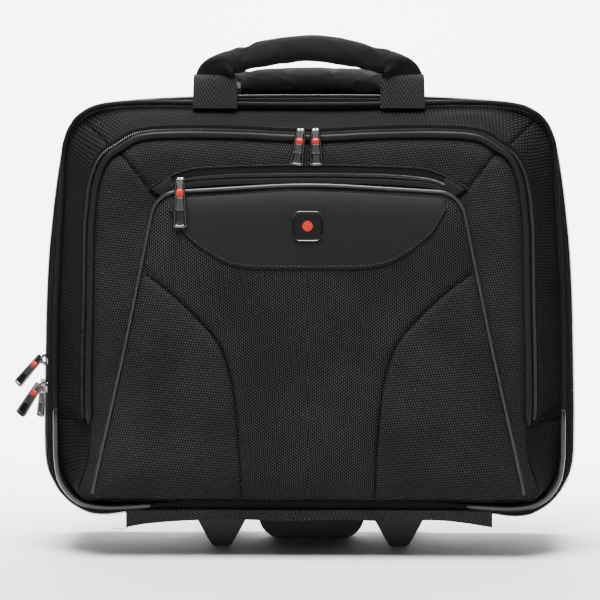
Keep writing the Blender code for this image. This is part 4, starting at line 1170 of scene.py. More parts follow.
def makePocketZip():
    # the tape is a ribbon between its two edges; the coil lies on it
    s, n = pocketZip, 220
    top, middle, foot = bothSides(zipTop, n), bothSides(zipCoil, n), bothSides(zipFoot, n)
    share = np.linspace(0, 1, 12)[:, None, None]
    flat = top + (foot - top) * share
    y = lidDepth(flat[..., 0], flat[..., 1], np.full(flat.shape[:2], 0.05))
    bulge = np.sin(share[..., 0] * math.pi) ** 0.5 * 0.0008
    front = np.stack([flat[..., 0], y - 0.0005 - bulge, flat[..., 1]], -1)
    back = np.stack([flat[..., 0], y + 0.0008, flat[..., 1]], -1)
    ribbon = np.concatenate([front, back[::-1]], 0)
    tape = gridMesh("pocketTape", np.swapaxes(ribbon, 0, 1), closeU=True, poles=(True, True), sharp=50)
    path = onFace(middle[8:-8], 0.0016, lidDepthInside)
    spiral, up = coilPath(path, (0, -1, 0), s["coilWidth"], s["coilHeight"], s["pitch"])
    coil = sweep("pocketCoil", spiral, ovalSection(0.00036, 0.00036, 5), up)
    hem = sweep(
        "pocketBinding", onFace(evenly(foot, n), 0.0014, lidDepthInside),
        ovalSection(0.0024, 0.0009, 12, 3), (0, -1, 0),
    )
    fold = evenly(top + (0, 0.0003), n)
    edge = sweep(
        "pocketZipFold", onFace(fold, 0.0008, lidDepthInside), ovalSection(0.0010, 0.0010, 8), (0, -1, 0)
    )
    return coil, tape, edge, hem


def lidDepthInside(x, z):
    return lidDepth(x, z, np.full(np.shape(x), 0.05))


pocketCoil, pocketTape, pocketTapeEdge, pocketHem = makePocketZip()
settle(pocketCoil, coilPlastic, "lid")
settle(pocketTape, tapeCloth, "lid")
settle(pocketTapeEdge, nylonPlain, "lid")
settle(pocketHem, bindingBand, "lid")

for side, word in ((-1, "Left"), (1, "Right")):
    corners = np.array(
        [(-0.1321, 0.3131), (-0.1215, 0.3062), (-0.1118, 0.3150), (-0.1150, 0.3236)]
    ) * (-side, 1)
    corners = corners if side < 0 else corners[::-1]
    tabLoop = roundedLoop(corners, [0.0012, 0.0012, 0.0012, 0.0012], 80)
    tabLoop = tabLoop[::-1] if (loopNormal(tabLoop) * (tabLoop - tabLoop.mean(0))).sum() < 0 else tabLoop
    middle = tabLoop.mean(0)
    y = float(lidDepthInside(middle[:1], middle[1:])[0])
    tab = plate(
        f"pocketZipTab{word}", tabLoop - middle, 0.0012, 0.0004, (middle[0], y - 0.0010, middle[1]),
        ((1, 0, 0), (0, 0, 1), (0, -1, 0)),
    )
    settle(tab, smoothPanel, "lid")
print("pocket fittings made")

# Organiser zip round the lid: coil, tapes, binding

lidZip = {
    "end": 0.1150, "endSink": 0.0085, "coilWidth": 0.0026, "coilHeight": 0.0018, "pitch": 0.0019,
    "bandHalf": 0.0027, "bandHigh": 0.0021,
}


def openRun(loop, end, count):
    # the part of a loop above a height, from the right foot over the top to the left foot
    line = loop[loop[:, 1] > end]
    order = np.argsort(np.arctan2(line[:, 0], line[:, 1] - 0.16))[::-1]
    return evenly(line[order], count)


def lidRun(out, sideOut, end, y, count=500):
    # a path at a distance outside the lid's outline, by another amount along the sides
    loop = evenly(lidOutline, 1400, closed=True)
    normal = loopNormal(loop)
    line = openRun(loop + normal * (out + (sideOut - out) * normal[:, :1] ** 2), end, count)
    # both ends sink into the cloth under the seam that crosses the sides
    sink = np.clip(1 - (line[:, 1] - end) / 0.010, 0, 1) ** 2 * lidZip["endSink"]
    return np.stack([line[:, 0], y + sink, line[:, 1]], 1)


def makeLidZip():
    s = lidZip
    path = lidRun(0.0034, 0.0056, s["end"], lidHigh.y - 0.0024)
    spiral, up = coilPath(path, (0, -1, 0), s["coilWidth"], s["coilHeight"], s["pitch"])
    coil = sweep("lidCoil", spiral, ovalSection(0.00050, 0.00050, 5), up)
    tape = sweep(
        "lidZipTape", lidRun(0.0030, 0.0040, s["end"] - 0.002, lidHigh.y - 0.0010),
        ovalSection(0.0052, 0.0005, 16, 6), (0, -1, 0),
    )
    bandPath = lidRun(0.0, 0.0, s["end"] - 0.001, lidLow.y + 0.0030)
    band = sweep("lidBinding", bandPath, ovalSection(s["bandHalf"], s["bandHigh"], 20, 2.3), (0, -1, 0))
    return coil, tape, band


lidCoil, lidTape, lidBand = makeLidZip()
settle(lidCoil, coilPlastic, "lid")
settle(lidTape, tapeCloth, "lid")
settle(lidBand, bindingBand, "lid")
print("organiser zip made")

# Covered piping and corner guards

piping = {"radius": 0.0022, "guardWide": 0.0027, "guardDeep": 0.0048}
pipingY = (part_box("front_piping")[0].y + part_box("front_piping")[1].y) / 2


def makePiping():
    loop = evenly(pipingOutline, 900, closed=True)
    path = np.stack([loop[:, 0], np.full(len(loop), pipingY), loop[:, 1]], 1)
    n = np.arange(len(path))
    bumps = 1 + 0.035 * np.sin(n * 0.7) * np.sin(n * 0.051) + 0.02 * np.sin(n * 0.33)
    return sweep(
        "frontPiping", path, ovalSection(piping["radius"], piping["radius"], 14), (0, -1, 0), closed=True,
        scale=bumps,
    )


def makeGuard(name, side):
    loop = pipingOutline
    keep = (loop[:, 0] * side > 0.135) & (loop[:, 1] < 0.1262)
    line = loop[keep]
    line = evenly(line[np.argsort(line[:, 0] * side * 0.7 + line[:, 1])], 110)
    path = np.stack([line[:, 0], np.full(len(line), pipingY - 0.0006), line[:, 1]], 1)
    ends = np.minimum(np.arange(110), np.arange(110)[::-1])
    scale = 1 - 0.35 * np.exp(-ends / 2.0)
    foot = np.clip((0.075 - line[:, 1]) / 0.03, 0, 1)
    section = np.broadcast_to(
        ovalSection(piping["guardWide"], piping["guardDeep"], 20, 2.6), (110, 20, 2)
    ).copy()
    section[..., 0] *= (1 + 0.18 * foot)[:, None]
    return sweep(name, path, section, (0, -1, 0), scale=scale)


settle(makePiping(), pipingCloth, "front_section", "front_piping")
settle(makeGuard("cornerGuardLeft", -1), satinGuard, "front_section", "corner_guard_left")
settle(makeGuard("cornerGuardRight", 1), satinGuard, "front_section", "corner_guard_right")

# Zips between the sections

sideZips = {"coilWidth": 0.0042, "coilHeight": 0.0022, "pitch": 0.0013, "proud": 0.0010, "tapeHalf": 0.0042}


def makeSectionZip(name, node, shift):
    y = (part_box(node)[0].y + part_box(node)[1].y) / 2
    loop = caseLoop(-sideZips["proud"])
    line = evenly(loop, 1600, closed=True)
    line = line[~((np.abs(line[:, 0]) < 0.157) & (line[:, 1] < 0.06))]
    line = line[np.argsort(np.arctan2(line[:, 0], line[:, 1] - 0.2))[::-1]]
    line = evenly(line, 600)
    path = np.stack([line[:, 0], np.full(600, y), line[:, 1]], 1)
    middle = np.array([0, y, 0.2])
    along = unit(np.gradient(path, axis=0))
    up = unit(np.cross(along, (0, 1, 0)))
    up = up * np.sign((up * (path - middle)).sum(1, keepdims=True))
    s = sideZips
    spiral, spin = coilPath(path, up, s["coilWidth"], s["coilHeight"], s["pitch"])
    coil = sweep(f"{name}Coil", spiral, ovalSection(0.00045, 0.00045, 5), spin)
    under = path - up * s["proud"] * 0.8 + (0, shift, 0)
    tape = sweep(f"{name}Tape", under, ovalSection(s["tapeHalf"], 0.0006, 16, 5), up)
    return coil, tape


for name, node, body, shift in (
    ("mainZip", "main_zip", "laptop_section", 0.0012), ("laptopZip", "laptop_zip", "case", 0.0018)
):
    coil, tape = makeSectionZip(name, node, shift)
    settle(coil, coilPlastic, body, node)
    settle(tape, tapeCloth, body)
print("section zips made")

# Flap along the foot between the front and laptop sections

flap = {
    "half": 0.157, "front": 0.0060, "bend": 0.0392, "hang": 0.0088, "droop": 0.0062, "thickness": 0.0012
}


def makeFlap():
    # sewn flat under the case, then turned down in front of the feet, lowest at its two ends
    low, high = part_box("hinge_strip")
    s = flap
    x = np.linspace(-s["half"], s["half"], 90)
    t = np.linspace(0, 1, 22)[:, None]
    front = low.y - s["front"]
    ends = np.clip((np.abs(x) - 0.095) / 0.062, 0, 1) ** 2
    hang = np.clip(1 - t / 0.5, 0, 1)
    level = np.clip((t - 0.42) / 0.58, 0, 1) ** 1.3
    y = front - 0.0012 * hang + (high.y - front) * level
    z = s["bend"] - hang * (s["hang"] + s["droop"] * ends * (1 - 0.15 * np.sign(x))) - 0.0040 * level
    z = z + 0.0005 * np.sin(x * 70) * hang
    points = np.stack([x + 0 * t, y + 0 * x, z], -1)
    below = points - (0, 0, flap["thickness"])
    grid = np.swapaxes(np.concatenate([points, below[::-1]], 0), 0, 1)
    return gridMesh("hingeFlap", grid, closeU=True, poles=(True, True), sharp=60), points


flapPiece, flapTop = makeFlap()
settle(flapPiece, nylonFlapLit, "laptop_section", "hinge_strip")


def makeThreadTail():
    # one thread that has worked loose at the flap's end
    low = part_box("hinge_strip")[0]
    points = [
        (-0.1545, low.y - 0.003, 0.0265), (-0.1560, low.y - 0.004, 0.0225),
        (-0.1600, low.y - 0.0045, 0.0205),
    ]
    points += [(-0.1655, low.y - 0.004, 0.0215), (-0.1700, low.y - 0.0035, 0.0200)]
    return sweep("looseThread", smoothLine(points, 40), ovalSection(0.0003, 0.0003, 6), (0, -1, 0))


settle(makeThreadTail(), threadSurface, "laptop_section")

# Carry handles: webbing at both ends, a padded grip between

handle = {
    "rise": 0.0395,
    "sag": 0.0120,
    "arch": 1.6,
    "gripHalf": 0.0700,
    "gripTall": 0.0113,
    "gripDeep": 0.0112,
    "pressure": 4.0,
    "rearLean": -75.0,
    "rearSlim": 1.13,
}


def gripLine(count, half=None):
    # the grip's middle line: a shallow arch, drooping to its ends
    s = handle
    x = np.linspace(-1, 1, count) * (half or s["gripHalf"])
    z = s["rise"] - s["sag"] * np.abs(x / s["gripHalf"]) ** s["arch"]
    return np.stack([x, np.zeros(count), z], 1)


def padCloth(made):
    # the cover blown tight over its filling, then left with a few small folds
    bpy.context.scene.collection.objects.link(made)
    bpy.context.view_layer.objects.active = made
    remesh = made.modifiers.new("even", "REMESH")
    remesh.mode, remesh.voxel_size = "VOXEL", 0.0030
    bpy.context.view_layer.update()
    graph = bpy.context.evaluated_depsgraph_get()
    made.data = bpy.data.meshes.new_from_object(made.evaluated_get(graph))
    made.modifiers.clear()
    rest = np.zeros(len(made.data.vertices) * 3)
    made.data.vertices.foreach_get("co", rest)
    rest = rest.reshape(-1, 3)
    ends = np.abs(rest[:, 0]) > handle["gripHalf"] - 0.006
    group = made.vertex_groups.new(name="sewn")
    group.add(np.flatnonzero(ends).tolist(), 1.0, "REPLACE")
    cloth = made.modifiers.new("cover", "CLOTH")
    settings = cloth.settings
    settings.quality, settings.mass = 6, 0.12
    settings.vertex_group_mass = "sewn"
    settings.use_pressure, settings.uniform_pressure_force = True, handle["pressure"]
    settings.tension_stiffness = settings.compression_stiffness = 22
    settings.shear_stiffness, settings.bending_stiffness = 14, 0.6
    settings.shrink_min = -0.025
    settings.effector_weights.gravity = 0
    cloth.collision_settings.use_collision = False
    scene = bpy.context.scene
    cloth.point_cache.frame_start, cloth.point_cache.frame_end = 1, 20
    for step in range(1, 21):
        scene.frame_set(step)
    graph = bpy.context.evaluated_depsgraph_get()
    mesh = bpy.data.meshes.new_from_object(made.evaluated_get(graph))
    made.modifiers.clear()
    made.data = mesh
    scene.frame_set(1)
    moved = np.zeros(len(mesh.vertices) * 3)
    mesh.vertices.foreach_get("co", moved)
    shift = moved.reshape(-1, 3) - rest
    length = np.linalg.norm(shift, axis=1, keepdims=True)
    shift *= np.minimum(1, 0.0010 / np.maximum(length, 1e-9))
    mesh.vertices.foreach_set("co", (rest + shift).ravel())
    mesh.update()
    smoother = made.modifiers.new("smooth", "SUBSURF")
    smoother.levels = smoother.render_levels = 1
    bpy.context.view_layer.update()
    graph = bpy.context.evaluated_depsgraph_get()
    made.data = bpy.data.meshes.new_from_object(made.evaluated_get(graph))
    made.modifiers.clear()
    bpy.context.scene.collection.objects.unlink(made)
    return made


def wrapUv(made):
    # lengths along the grip and round it, so the twill runs the same way everywhere
    mesh = made.data
    corner = np.zeros(len(mesh.loops), np.int32)
    mesh.loops.foreach_get("vertex_index", corner)
    place = np.zeros(len(mesh.vertices) * 3)
    mesh.vertices.foreach_get("co", place)
    place = place.reshape(-1, 3)
    centre = handle["rise"] - handle["sag"] * np.abs(place[:, 0] / handle["gripHalf"]) ** handle["arch"]
    angle = np.arctan2(np.abs(place[:, 1]), place[:, 2] - centre)
    around = angle * 0.0125
    layer = mesh.uv_layers.new(name="cloth")
    layer.data.foreach_set("uv", np.stack([place[:, 0], around], 1)[corner].astype(np.float32).ravel())
    return made


def makeGrip():
    s = handle
    count = 90
    path = gripLine(count)
    shares = np.linspace(-1, 1, count)
    size = 1 - 0.10 * np.abs(shares) ** 3 - 0.35 * np.clip((np.abs(shares) - 0.965) / 0.035, 0, 1) ** 2
    pinch = 1 + 0.03 * np.sin(shares * 21 + 0.6) * np.abs(shares) + 0.02 * np.sin(shares * 9)
    base = ovalSection(s["gripDeep"], s["gripTall"], 28, 2.5)
    section = np.broadcast_to(base, (count, 28, 2)).copy()
    section[..., 1] *= pinch[:, None]
    made = sweep("grip", path, section, (0, 0, 1), scale=size)
    return wrapUv(padCloth(made))


def makeFan(side):
    # webbing that rises flat, then turns over the end of the grip: closed sections along rays from a corner
    rise = np.linspace(-0.0100, 0.0143, 12)[:-1]
    turn = np.radians(np.linspace(0, 84, 30))
    reach = np.interp(
        np.degrees(turn), [0, 22, 35, 48, 62, 78, 90],
        [0.0341, 0.0313, 0.0290, 0.0265, 0.0252, 0.0246, 0.0242],
    )
    corner = np.stack([np.full(41, 0.0631), np.full(41, 0.0143)], 1)
    corner[:11] = np.stack([np.interp(rise, [-0.01, 0.008, 0.0143], [0.0608, 0.0606, 0.0631]), rise], 1)
    reach = np.concatenate([np.interp(rise, [-0.01, 0.0143], [0.0382, 0.0341]), reach])
    angle = np.concatenate([np.zeros(11), turn])
    share = np.clip(np.degrees(angle) / 62, 0, 1)
    share = share * share * (3 - 2 * share)
    half = 0.0019 + share * 0.0084
    power = 5.0 - 2.5 * share
    a = np.linspace(0, 2 * math.pi, 36, endpoint=False)[None]
    c, q = np.cos(a), np.sin(a)
    across = np.sign(c) * np.abs(c) ** (2 / power[:, None])
    deep = np.sign(q) * np.abs(q) ** (2 / power[:, None]) * half[:, None]
    out = reach[:, None] * (1 + across) / 2
    deep = deep + 0.0007 * np.sin(out * 420 + angle[:, None] * 5) * share[:, None] * np.sign(deep)
    x = corner[:, :1] + np.cos(angle)[:, None] * out
    z = corner[:, 1:] + np.sin(angle)[:, None] * out
    return np.stack([x * side, deep, z], -1)


def makeLeg(side):
    # the flat webbing in front, folded back at its top
    points = [(-0.0030, -0.0105), (-0.0036, 0.0), (-0.0042, 0.0095), (-0.0036, 0.0148), (-0.0008, 0.0170)]
    line = smoothLine(points, 40)
    path = np.stack([np.full(40, 0.0796), line[:, 0], line[:, 1]], 1)
    t = np.linspace(0, 1, 40)
    section = np.broadcast_to(ovalSection(0.0191, 0.0016, 36, 7), (40, 36, 2)).copy()
    section[..., 0] *= (1 - 0.05 * t)[:, None]
    up = np.stack([np.zeros(40), -np.gradient(line[:, 1]), np.gradient(line[:, 0])], 1)
    points = sweepPoints(path, section, unit(up))
    return points * (side, 1, 1)


def turnHandle(points, pivot, lean):
    turn = Matrix.Rotation(math.radians(lean), 3, "X")
    return points @ np.array(turn).T + np.asarray(pivot)


def pivotOf(joint):
    return np.array(joints[joint]["pos_m"], float)


gripMaster = makeGrip()
gripRest = np.zeros(len(gripMaster.data.vertices) * 3)
gripMaster.data.vertices.foreach_get("co", gripRest)
gripRest = gripRest.reshape(-1, 3)
rearMaster = bpy.data.objects.new("rearGrip", gripMaster.data.copy())
for word, grip, lean, slim in (
    ("front", gripMaster, 0.0, 1.0), ("rear", rearMaster, handle["rearLean"], handle["rearSlim"])
):
    pivot, body = pivotOf(f"{word}_handle_hinge"), f"{word}_handle"
    for side, hand in ((-1, "Left"), (1, "Right")):
        for part, points in (("Webbing", makeLeg(side)), ("Fold", makeFan(side))):
            points = points.copy()
            points[..., 1] *= slim
            points[..., 2] = np.where(
                points[..., 2] < 0, points[..., 2] * (1.0 if word == "front" else 0.3), points[..., 2]
            )
            piece = gridMesh(
                f"{word}{part}{hand}", turnHandle(points, pivot, lean), closeU=True, poles=(True, True),
                sharp=60,
            )
            first = part == "Webbing" and side < 0
            settle(
                piece, webbing if part == "Webbing" else gripCloth, body,
                f"{word}_strap" if first else (),
            )
    middle = handle["rise"] - handle["sag"] * np.abs(gripRest[:, 0] / handle["gripHalf"]) ** handle["arch"]
    place = np.stack([gripRest[:, 0], gripRest[:, 1] * slim, middle + (gripRest[:, 2] - middle) * slim], 1)
    grip.name = f"{word}Grip"
    grip.data.vertices.foreach_set("co", turnHandle(place, pivot, lean).ravel())
    grip.data.update()
    grip.data.materials.clear()
    settle(grip, gripCloth, body, f"{word}_grip")
print("handles made")

# Inside: organiser panel and laptop strap

organiser = {"puff": 0.0020, "rings": 60}


def makeOrganiser():
    low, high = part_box("organiser_panel")
    corners = [(0, low.z), (high.x, low.z), (high.x, high.z), (low.x, high.z), (low.x, low.z)]
    loop = roundedLoop(corners, [0, 0.012, 0.008, 0.008, 0.012], 260)
    face = np.concatenate([[0, 0.0005, 0.002, 0.004], np.linspace(0.006, 0.985, organiser["rings"])])
    rings = insetRings(loop, face, limit=0.005)
    steps = low.z + (high.z - low.z) * np.array([0.86, 0.62, 0.40])
    seams = [np.array([(low.x + 0.01, s), (high.x - 0.01, s)]) for s in steps]
    seams += [
        np.array([(sx * (high.x - low.x), low.z + 0.005), (sx * (high.x - low.x), steps[1])])
        for sx in (-0.17, 0.17)
    ]
    flat = atDepth(rings, np.zeros(len(face)))
    seam = seamDistance(flat, seams)
    edge = np.clip(np.concatenate([[0, 0.2, 0.8, 1], np.ones(organiser["rings"])]), 0, 1)[:, None]
    flat[..., 1] = high.y - 0.0004 - edge * (high.y - low.y - 0.0026) - (
        1 - np.exp(-seam / 0.008)
    ) * organiser["puff"] * edge
    back = atDepth(insetRings(loop, [0.001, 0.3, 0.985], limit=0.005), [high.y - 0.0002] * 3)
    points = np.concatenate([back[::-1], flat])
    seam = np.concatenate([np.ones((3, seam.shape[1])), seam])
    uv = np.concatenate([points, points[:, :1]], 1)[..., [0, 2]]
    return gridMesh("organiserPanel", points, uv, closeU=True, poles=(True, True), fields={"seam": seam})


def makeLaptopStrap():
    low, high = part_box("laptop_strap")
    half, y = (high.x - low.x) / 2, (low.y + high.y) / 2
    z = np.linspace(high.z - 0.001, low.z + 0.001, 60)
    path = np.stack([np.zeros(60), y + 0.0004 * np.sin(z * 60), z], 1)
    return sweep("laptopStrap", path, ovalSection(half, (high.y - low.y) / 2 * 0.9, 28, 6), (0, -1, 0))


settle(makeOrganiser(), liningCloth, "front_section", "organiser_panel")
settle(makeLaptopStrap(), webbing, "laptop_section", "laptop_strap")
print("inside made")

# Zip sliders and pulls

slider = {"long": 0.0102, "wide": 0.0078, "high": 0.0034, "bridge": 0.0056}
pull = {"topHalf": 0.0043, "footHalf": 0.0058, "thick": 0.0020, "rim": 0.0011}


def framed(loops, base, axes, lifts):
    # a stack of outlines at chosen heights, carried into place
    across, upward, outward = (np.asarray(v, float) for v in axes)
    rings = np.stack(loops)
    return np.asarray(base, float) + rings[..., :1] * across + rings[..., 1:] * upward + np.asarray(lifts)[
        :, None, None
    ] * outward


def pullOutline(length, top, foot, inset, low=None, high=None, count=72):
    # a tab that widens towards its lower end
    high = 0.0036 if high is None else high
    low = -length if low is None else low
    span = length + 0.0036
    at = lambda z: foot + (top - foot) * (z + length) / span - inset
    corners = [
        (0, low + inset), (at(low), low + inset), (at(high), high - inset), (-at(high), high - inset),
        (-at(low), low + inset),
    ]
    r = max(0.0006, 0.0026 - inset)
    return roundedLoop(corners, [0, r, r * 0.8, r * 0.8, r], count)


def makePull(name, hinge, down, out, length, spin=0.0, twist=0.0):
    # a plated tab: rim, red enamel band, pebbled plate and a dark window with a bright lip
    down, out = unit(np.asarray(down, float)), unit(np.asarray(out, float))
    across = np.cross(down, out)
    turn = np.array(Matrix.Rotation(math.radians(spin), 3, Vector(out)))
    down, across = turn @ down, turn @ across
    turn = np.array(Matrix.Rotation(math.radians(twist), 3, Vector(down)))
    out, across = turn @ out, turn @ across
    upward = -down
    axes = (across, upward, out)
    s, half = pull, pull["thick"] / 2
    body = [
        pullOutline(length, s["topHalf"], s["footHalf"], i)
        for i in (0.0012, 0.0003, 0, 0, 0.0003, 0.0010, 0.0017, 0.0021)
    ]
    lifts = [
        -half, -half + 0.0001, -half + 0.0004, half - 0.0004, half - 0.0001, half, half - 0.0001,
        half - 0.0006,
    ]
    frame3d = framed(body, hinge, axes, lifts)
    plated = gridMesh(f"{name}Frame", frame3d, closeU=True, poles=(True, True), sharp=50)
    span = length
    redLow, redHigh = -0.30 * span, -0.12 * span
    redLoop = roundedLoop(
        [(0, redLow), (0.0034, redLow), (0.0034, redHigh), (-0.0034, redHigh), (-0.0034, redLow)],
        [0] + [abs(redHigh - redLow) * 0.42] * 4, 48,
    )
    centre = (np.asarray(hinge) + out * (half - 0.0005))
    red = plate(f"{name}Enamel", redLoop, 0.0007, 0.0006, centre, axes, rings=6)
    windowLow, windowHigh = -0.90 * span, -0.60 * span
    grow = lambda z: s["footHalf"] + (
        s["topHalf"] - s["footHalf"]
    ) * (z + length) / (length + 0.0036) - 0.0019
    windowLoop = roundedLoop(
        [
            (0, windowLow), (grow(windowLow), windowLow), (grow(windowHigh), windowHigh),
            (-grow(windowHigh), windowHigh), (-grow(windowLow), windowLow),
        ],
        [0, 0.0012, 0.0006, 0.0006, 0.0012], 48,
    )
    window = plate(f"{name}Window", windowLoop, 0.00045, 0.0, centre, axes, rings=6, rim=0.0002)
    plateLoop = roundedLoop(
        [
            (0, windowHigh + 0.0006), (grow(windowHigh), windowHigh + 0.0006),
            (grow(redLow) * 0.95, redLow - 0.0004), (-grow(redLow) * 0.95, redLow - 0.0004),
            (-grow(windowHigh), windowHigh + 0.0006),
        ],
        [0, 0.0004, 0.0004, 0.0004, 0.0004], 48,
    )
    pebbled = plate(f"{name}Plate", plateLoop, 0.0006, 0.0, centre, axes, rings=6, rim=0.0002)
    return plated, red, window, pebbled


def makeSlider(name, place, along, out):
    # a body that straddles the coil, a raised bridge and the loop the pull hangs on
    along, out = unit(np.asarray(along, float)), unit(np.asarray(out, float))
    across = np.cross(along, out)
    s = slider
    outline = roundedLoop(
        [
            (0, -s["long"] / 2), (s["wide"] * 0.34, -s["long"] / 2), (s["wide"] / 2, s["long"] * 0.15),
            (s["wide"] * 0.42, s["long"] / 2), (-s["wide"] * 0.42, s["long"] / 2),
            (-s["wide"] / 2, s["long"] * 0.15), (-s["wide"] * 0.34, -s["long"] / 2),
        ],
        [0, 0.002, 0.004, 0.002, 0.002, 0.004, 0.002], 64,
    )
    rings = insetRings(outline, [0.0012, 0.0003, 0, 0, 0.0004, 0.0014, 0.4, 0.985], limit=0.002)
    lifts = np.array(
        [
            0, 0.0002, 0.0006, s["high"] - 0.0008, s["high"] - 0.0002, s["high"], s["high"] + 0.0002,
            s["high"] + 0.0003,
        ]
    )
    base = np.asarray(place, float)
    points = base + rings[..., :1] * across + rings[..., 1:] * (-along) + lifts[:, None, None] * out
    body = gridMesh(f"{name}Body", points, closeU=True, poles=(True, True), sharp=50)
    t = np.linspace(0, math.pi, 24)
    reach = s["long"] * 0.36
    rise = s["high"] - 0.0008 + np.sin(t) ** 0.7 * s["bridge"]
    path = base + np.outer(np.cos(t) * reach, along) + np.outer(rise, out)
    bridge = sweep(f"{name}Bridge", path, ovalSection(0.0016, 0.0007, 12, 4), across)
    return body, bridge


caseLean = 0.05
sideOut = unit(np.array([-1.0, 0, caseLean]))
sideDown = unit(np.array([-caseLean, 0, -1.0]))
frontOut, frontDown = np.array([0.0, -1, 0]), np.array([0.0, 0, -1])


def raised(down, out, degrees):
    # the direction a pull hangs in when it is lifted away from the cloth by an angle
    angle = math.radians(degrees)
    return down * math.cos(angle) + out * math.sin(angle), out * math.cos(angle) - down * math.sin(angle)


pulls = {
    "mainUpper": ("main_upper", 38.0, 0.0290, 0.0, -42.0, False),
    "mainLower": ("main_lower", 30.0, 0.0290, 0.0, -52.0, False),
    "laptop": ("laptop", 3.0, 0.0300, 0.0, -35.0, False),
    "organiserLeft": ("organiser_left", 1.0, 0.0262, -8.0, 0.0, True),
    "organiserRight": ("organiser_right", 1.0, 0.0262, 1.5, 0.0, True),
    "pocket": ("pocket", 1.0, 0.0372, 0.0, 0.0, True),
}
for name, (node, lift, length, spin, twist, facing) in pulls.items():
    down, out = (frontDown, frontOut) if facing else (sideDown, sideOut)
    hinge = pivotOf(f"{node}_swing")
    low, high = np.array(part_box(f"{node}_slider")[0]), np.array(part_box(f"{node}_slider")[1])
    centre = (low + high) / 2
    reach = (np.abs(out) * (high - low)).sum() / 2
    base = centre - out * reach
    body, bridge = makeSlider(f"{name}Slider", base, down, out)
    settle(body, chrome, f"{node}_slider", f"{node}_slider")
    settle(bridge, chrome, f"{node}_slider")
    hang, face = raised(down, out, lift)
    plated, red, window, pebbled = makePull(f"{name}Pull", hinge, hang, face, length, spin, twist)
    settle(plated, chrome if not facing else gunmetal, f"{node}_pull", f"{node}_pull")
    settle(red, redEnamel, f"{node}_pull")
    settle(window, blackEnamel, f"{node}_pull")
    settle(pebbled, greyPlate, f"{node}_pull")
print("zip pulls made")

# Badge: rim, dark field, plain red disc

badge = {"rim": 0.0012, "rimProud": 0.0009, "disc": 0.0052}


def makeBadge():
    low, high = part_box("badge")
    half, tall = (high.x - low.x) / 2, (high.z - low.z) / 2
    x, z = (low.x + high.x) / 2, (low.z + high.z) / 2
    centre = (x, float(pocketDepth(np.array([x]), np.array([z]))[0]) - yoke["thickness"], z)
    axes = ((1, 0, 0), (0, 0, 1), (0, -1, 0))

    def outline(inset):
        a, b, r = half - inset, tall - inset, 0.0062 - inset
        return roundedLoop([(0, -b), (a, -b), (a, b), (-a, b), (-a, -b)], [0, r, r, r, r], 96)

    proud = high.y - low.y + 0.0006
    insets = [0.0010, 0.0003, 0, 0, 0.0001, 0.0003, 0.0006, 0.0008, 0.0010]
    lifts = [
        0, 0, 0.0002, proud - 0.0003, proud - 0.0001, proud, proud - 0.0002, proud - 0.0005, proud - 0.0007
    ]
    rim = gridMesh(
        "badgeRim", framed([outline(i) for i in insets], centre, axes, lifts), closeU=True,
        poles=(True, True), sharp=50,
    )
    field = plate("badgeField", outline(0.0009), proud - 0.0004, 0.0003, centre, axes, rings=12, rim=0.0002)
    t = np.linspace(0, 2 * math.pi, 64, endpoint=False)
    disc = np.stack([np.sin(t), -np.cos(t)], 1) * badge["disc"]
    base = (centre[0], centre[1] - proud + 0.0006, centre[2])
    middle = plate("badgeDisc", disc, 0.0004, 0.0003, base, axes, rings=8, rim=0.0002)
    return rim, field, middle


badgeRim, badgeField, badgeDisc = makeBadge()
settle(badgeRim, gunmetal, "lid", "badge")
settle(badgeField, darkField, "lid")
settle(badgeDisc, redEnamel, "lid")
print("badge made")

# Stage, lights and camera

studio = {
    "floor": 0.62, "key": 250.0, "left": 1.2, "right": 1.2, "low": 9.0, "backdrop": 330.0, "world": 0.04
}


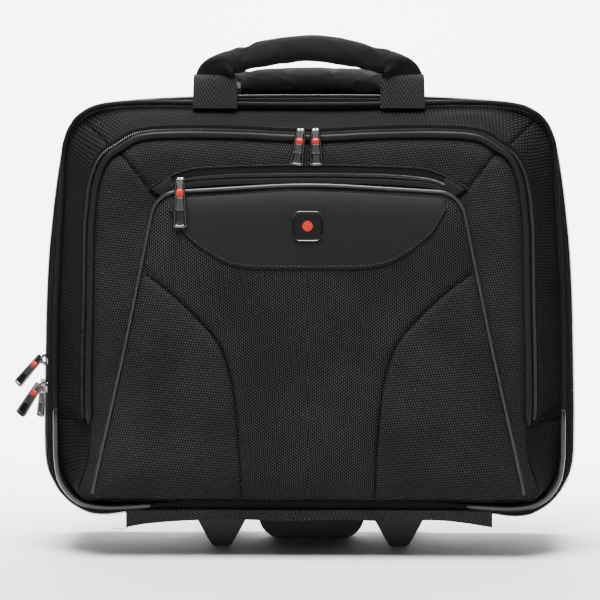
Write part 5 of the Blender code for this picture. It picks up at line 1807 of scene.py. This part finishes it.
def makeStage():
    # a floor that curves up into the backdrop
    t = np.linspace(0, math.pi / 2, 16)
    y = np.concatenate([[-4.0, 1.2], 1.2 + np.sin(t) * 1.0, [2.2]])
    z = np.concatenate([[0, 0], 1.0 - np.cos(t) * 1.0, [4.0]])
    x = np.array([-5.0, 5.0])
    points = np.stack(
        [np.broadcast_to(x, (len(y), 2)), np.repeat(y[:, None], 2, 1), np.repeat(z[:, None], 2, 1)], -1
    )
    index = np.arange(points.shape[0] * 2).reshape(-1, 2)
    faces = np.stack([index[:-1, 0], index[:-1, 1], index[1:, 1], index[1:, 0]], 1).tolist()
    floor = buildMesh("studioFloor", points.reshape(-1, 3), faces)
    made, t, shader = newMaterial("paleFloor")
    place = t.node("ShaderNodeTexCoord").outputs["Object"]
    cloud = t.node("ShaderNodeTexNoise", {"Vector": place, "Scale": 3.0, "Detail": 3.0})
    level = studio["floor"]
    t.put(
        shader.inputs["Base Color"],
        t.blend(cloud.outputs["Fac"], (level - 0.01,) * 3 + (1,), (level,) * 3 + (1,)),
    )
    shader.inputs["Roughness"].default_value = 0.8
    floor.data.materials.append(made)
    bpy.context.scene.collection.objects.link(floor)


def areaLight(name, place, target, size, power):
    light = bpy.data.lights.new(name, "AREA")
    light.energy, light.size = power, size
    made = bpy.data.objects.new(name, light)
    made.location = place
    made.rotation_euler = (Vector(target) - Vector(place)).to_track_quat("-Z", "Y").to_euler()
    bpy.context.scene.collection.objects.link(made)


def makeCamera():
    # a long lens, a little above and to the right
    aim, elevation, azimuth, distance = Vector(
        (-0.0075, -0.115, 0.2184)
    ), math.radians(3.0), math.radians(1.5), 2.4
    camera = bpy.data.cameras.new("studioCamera")
    camera.lens, camera.sensor_width, camera.clip_start = 169.0, 36.0, 0.05
    made = bpy.data.objects.new("studioCamera", camera)
    level = Vector((math.sin(azimuth), -math.cos(azimuth), 0)) * math.cos(elevation)
    made.location = aim + distance * (level + Vector((0, 0, math.sin(elevation))))
    made.rotation_euler = (aim - made.location).to_track_quat("-Z", "Y").to_euler()
    bpy.context.scene.collection.objects.link(made)
    bpy.context.scene.camera = made


makeStage()
areaLight("keyLight", (-0.15, -0.80, 2.20), (0, -0.10, 0.25), 1.4, studio["key"])
areaLight("leftLight", (-1.7, -1.3, 0.9), (0, -0.1, 0.22), 0.5, studio["left"])
areaLight("rightLight", (1.8, -1.1, 0.8), (0, -0.1, 0.22), 0.5, studio["right"])
areaLight("lowFill", (0.25, -2.6, 0.12), (0, -0.1, 0.05), 0.9, studio["low"])
areaLight("backdropLight", (0, 0.75, 1.7), (0, 2.2, 0.5), 1.2, studio["backdrop"])
world = bpy.data.worlds.new("studioWorld")
world.use_nodes = True
world.node_tree.nodes["Background"].inputs["Color"].default_value = (1, 1, 1, 1)
world.node_tree.nodes["Background"].inputs["Strength"].default_value = studio["world"]
bpy.context.scene.world = world
makeCamera()
print("stage made")
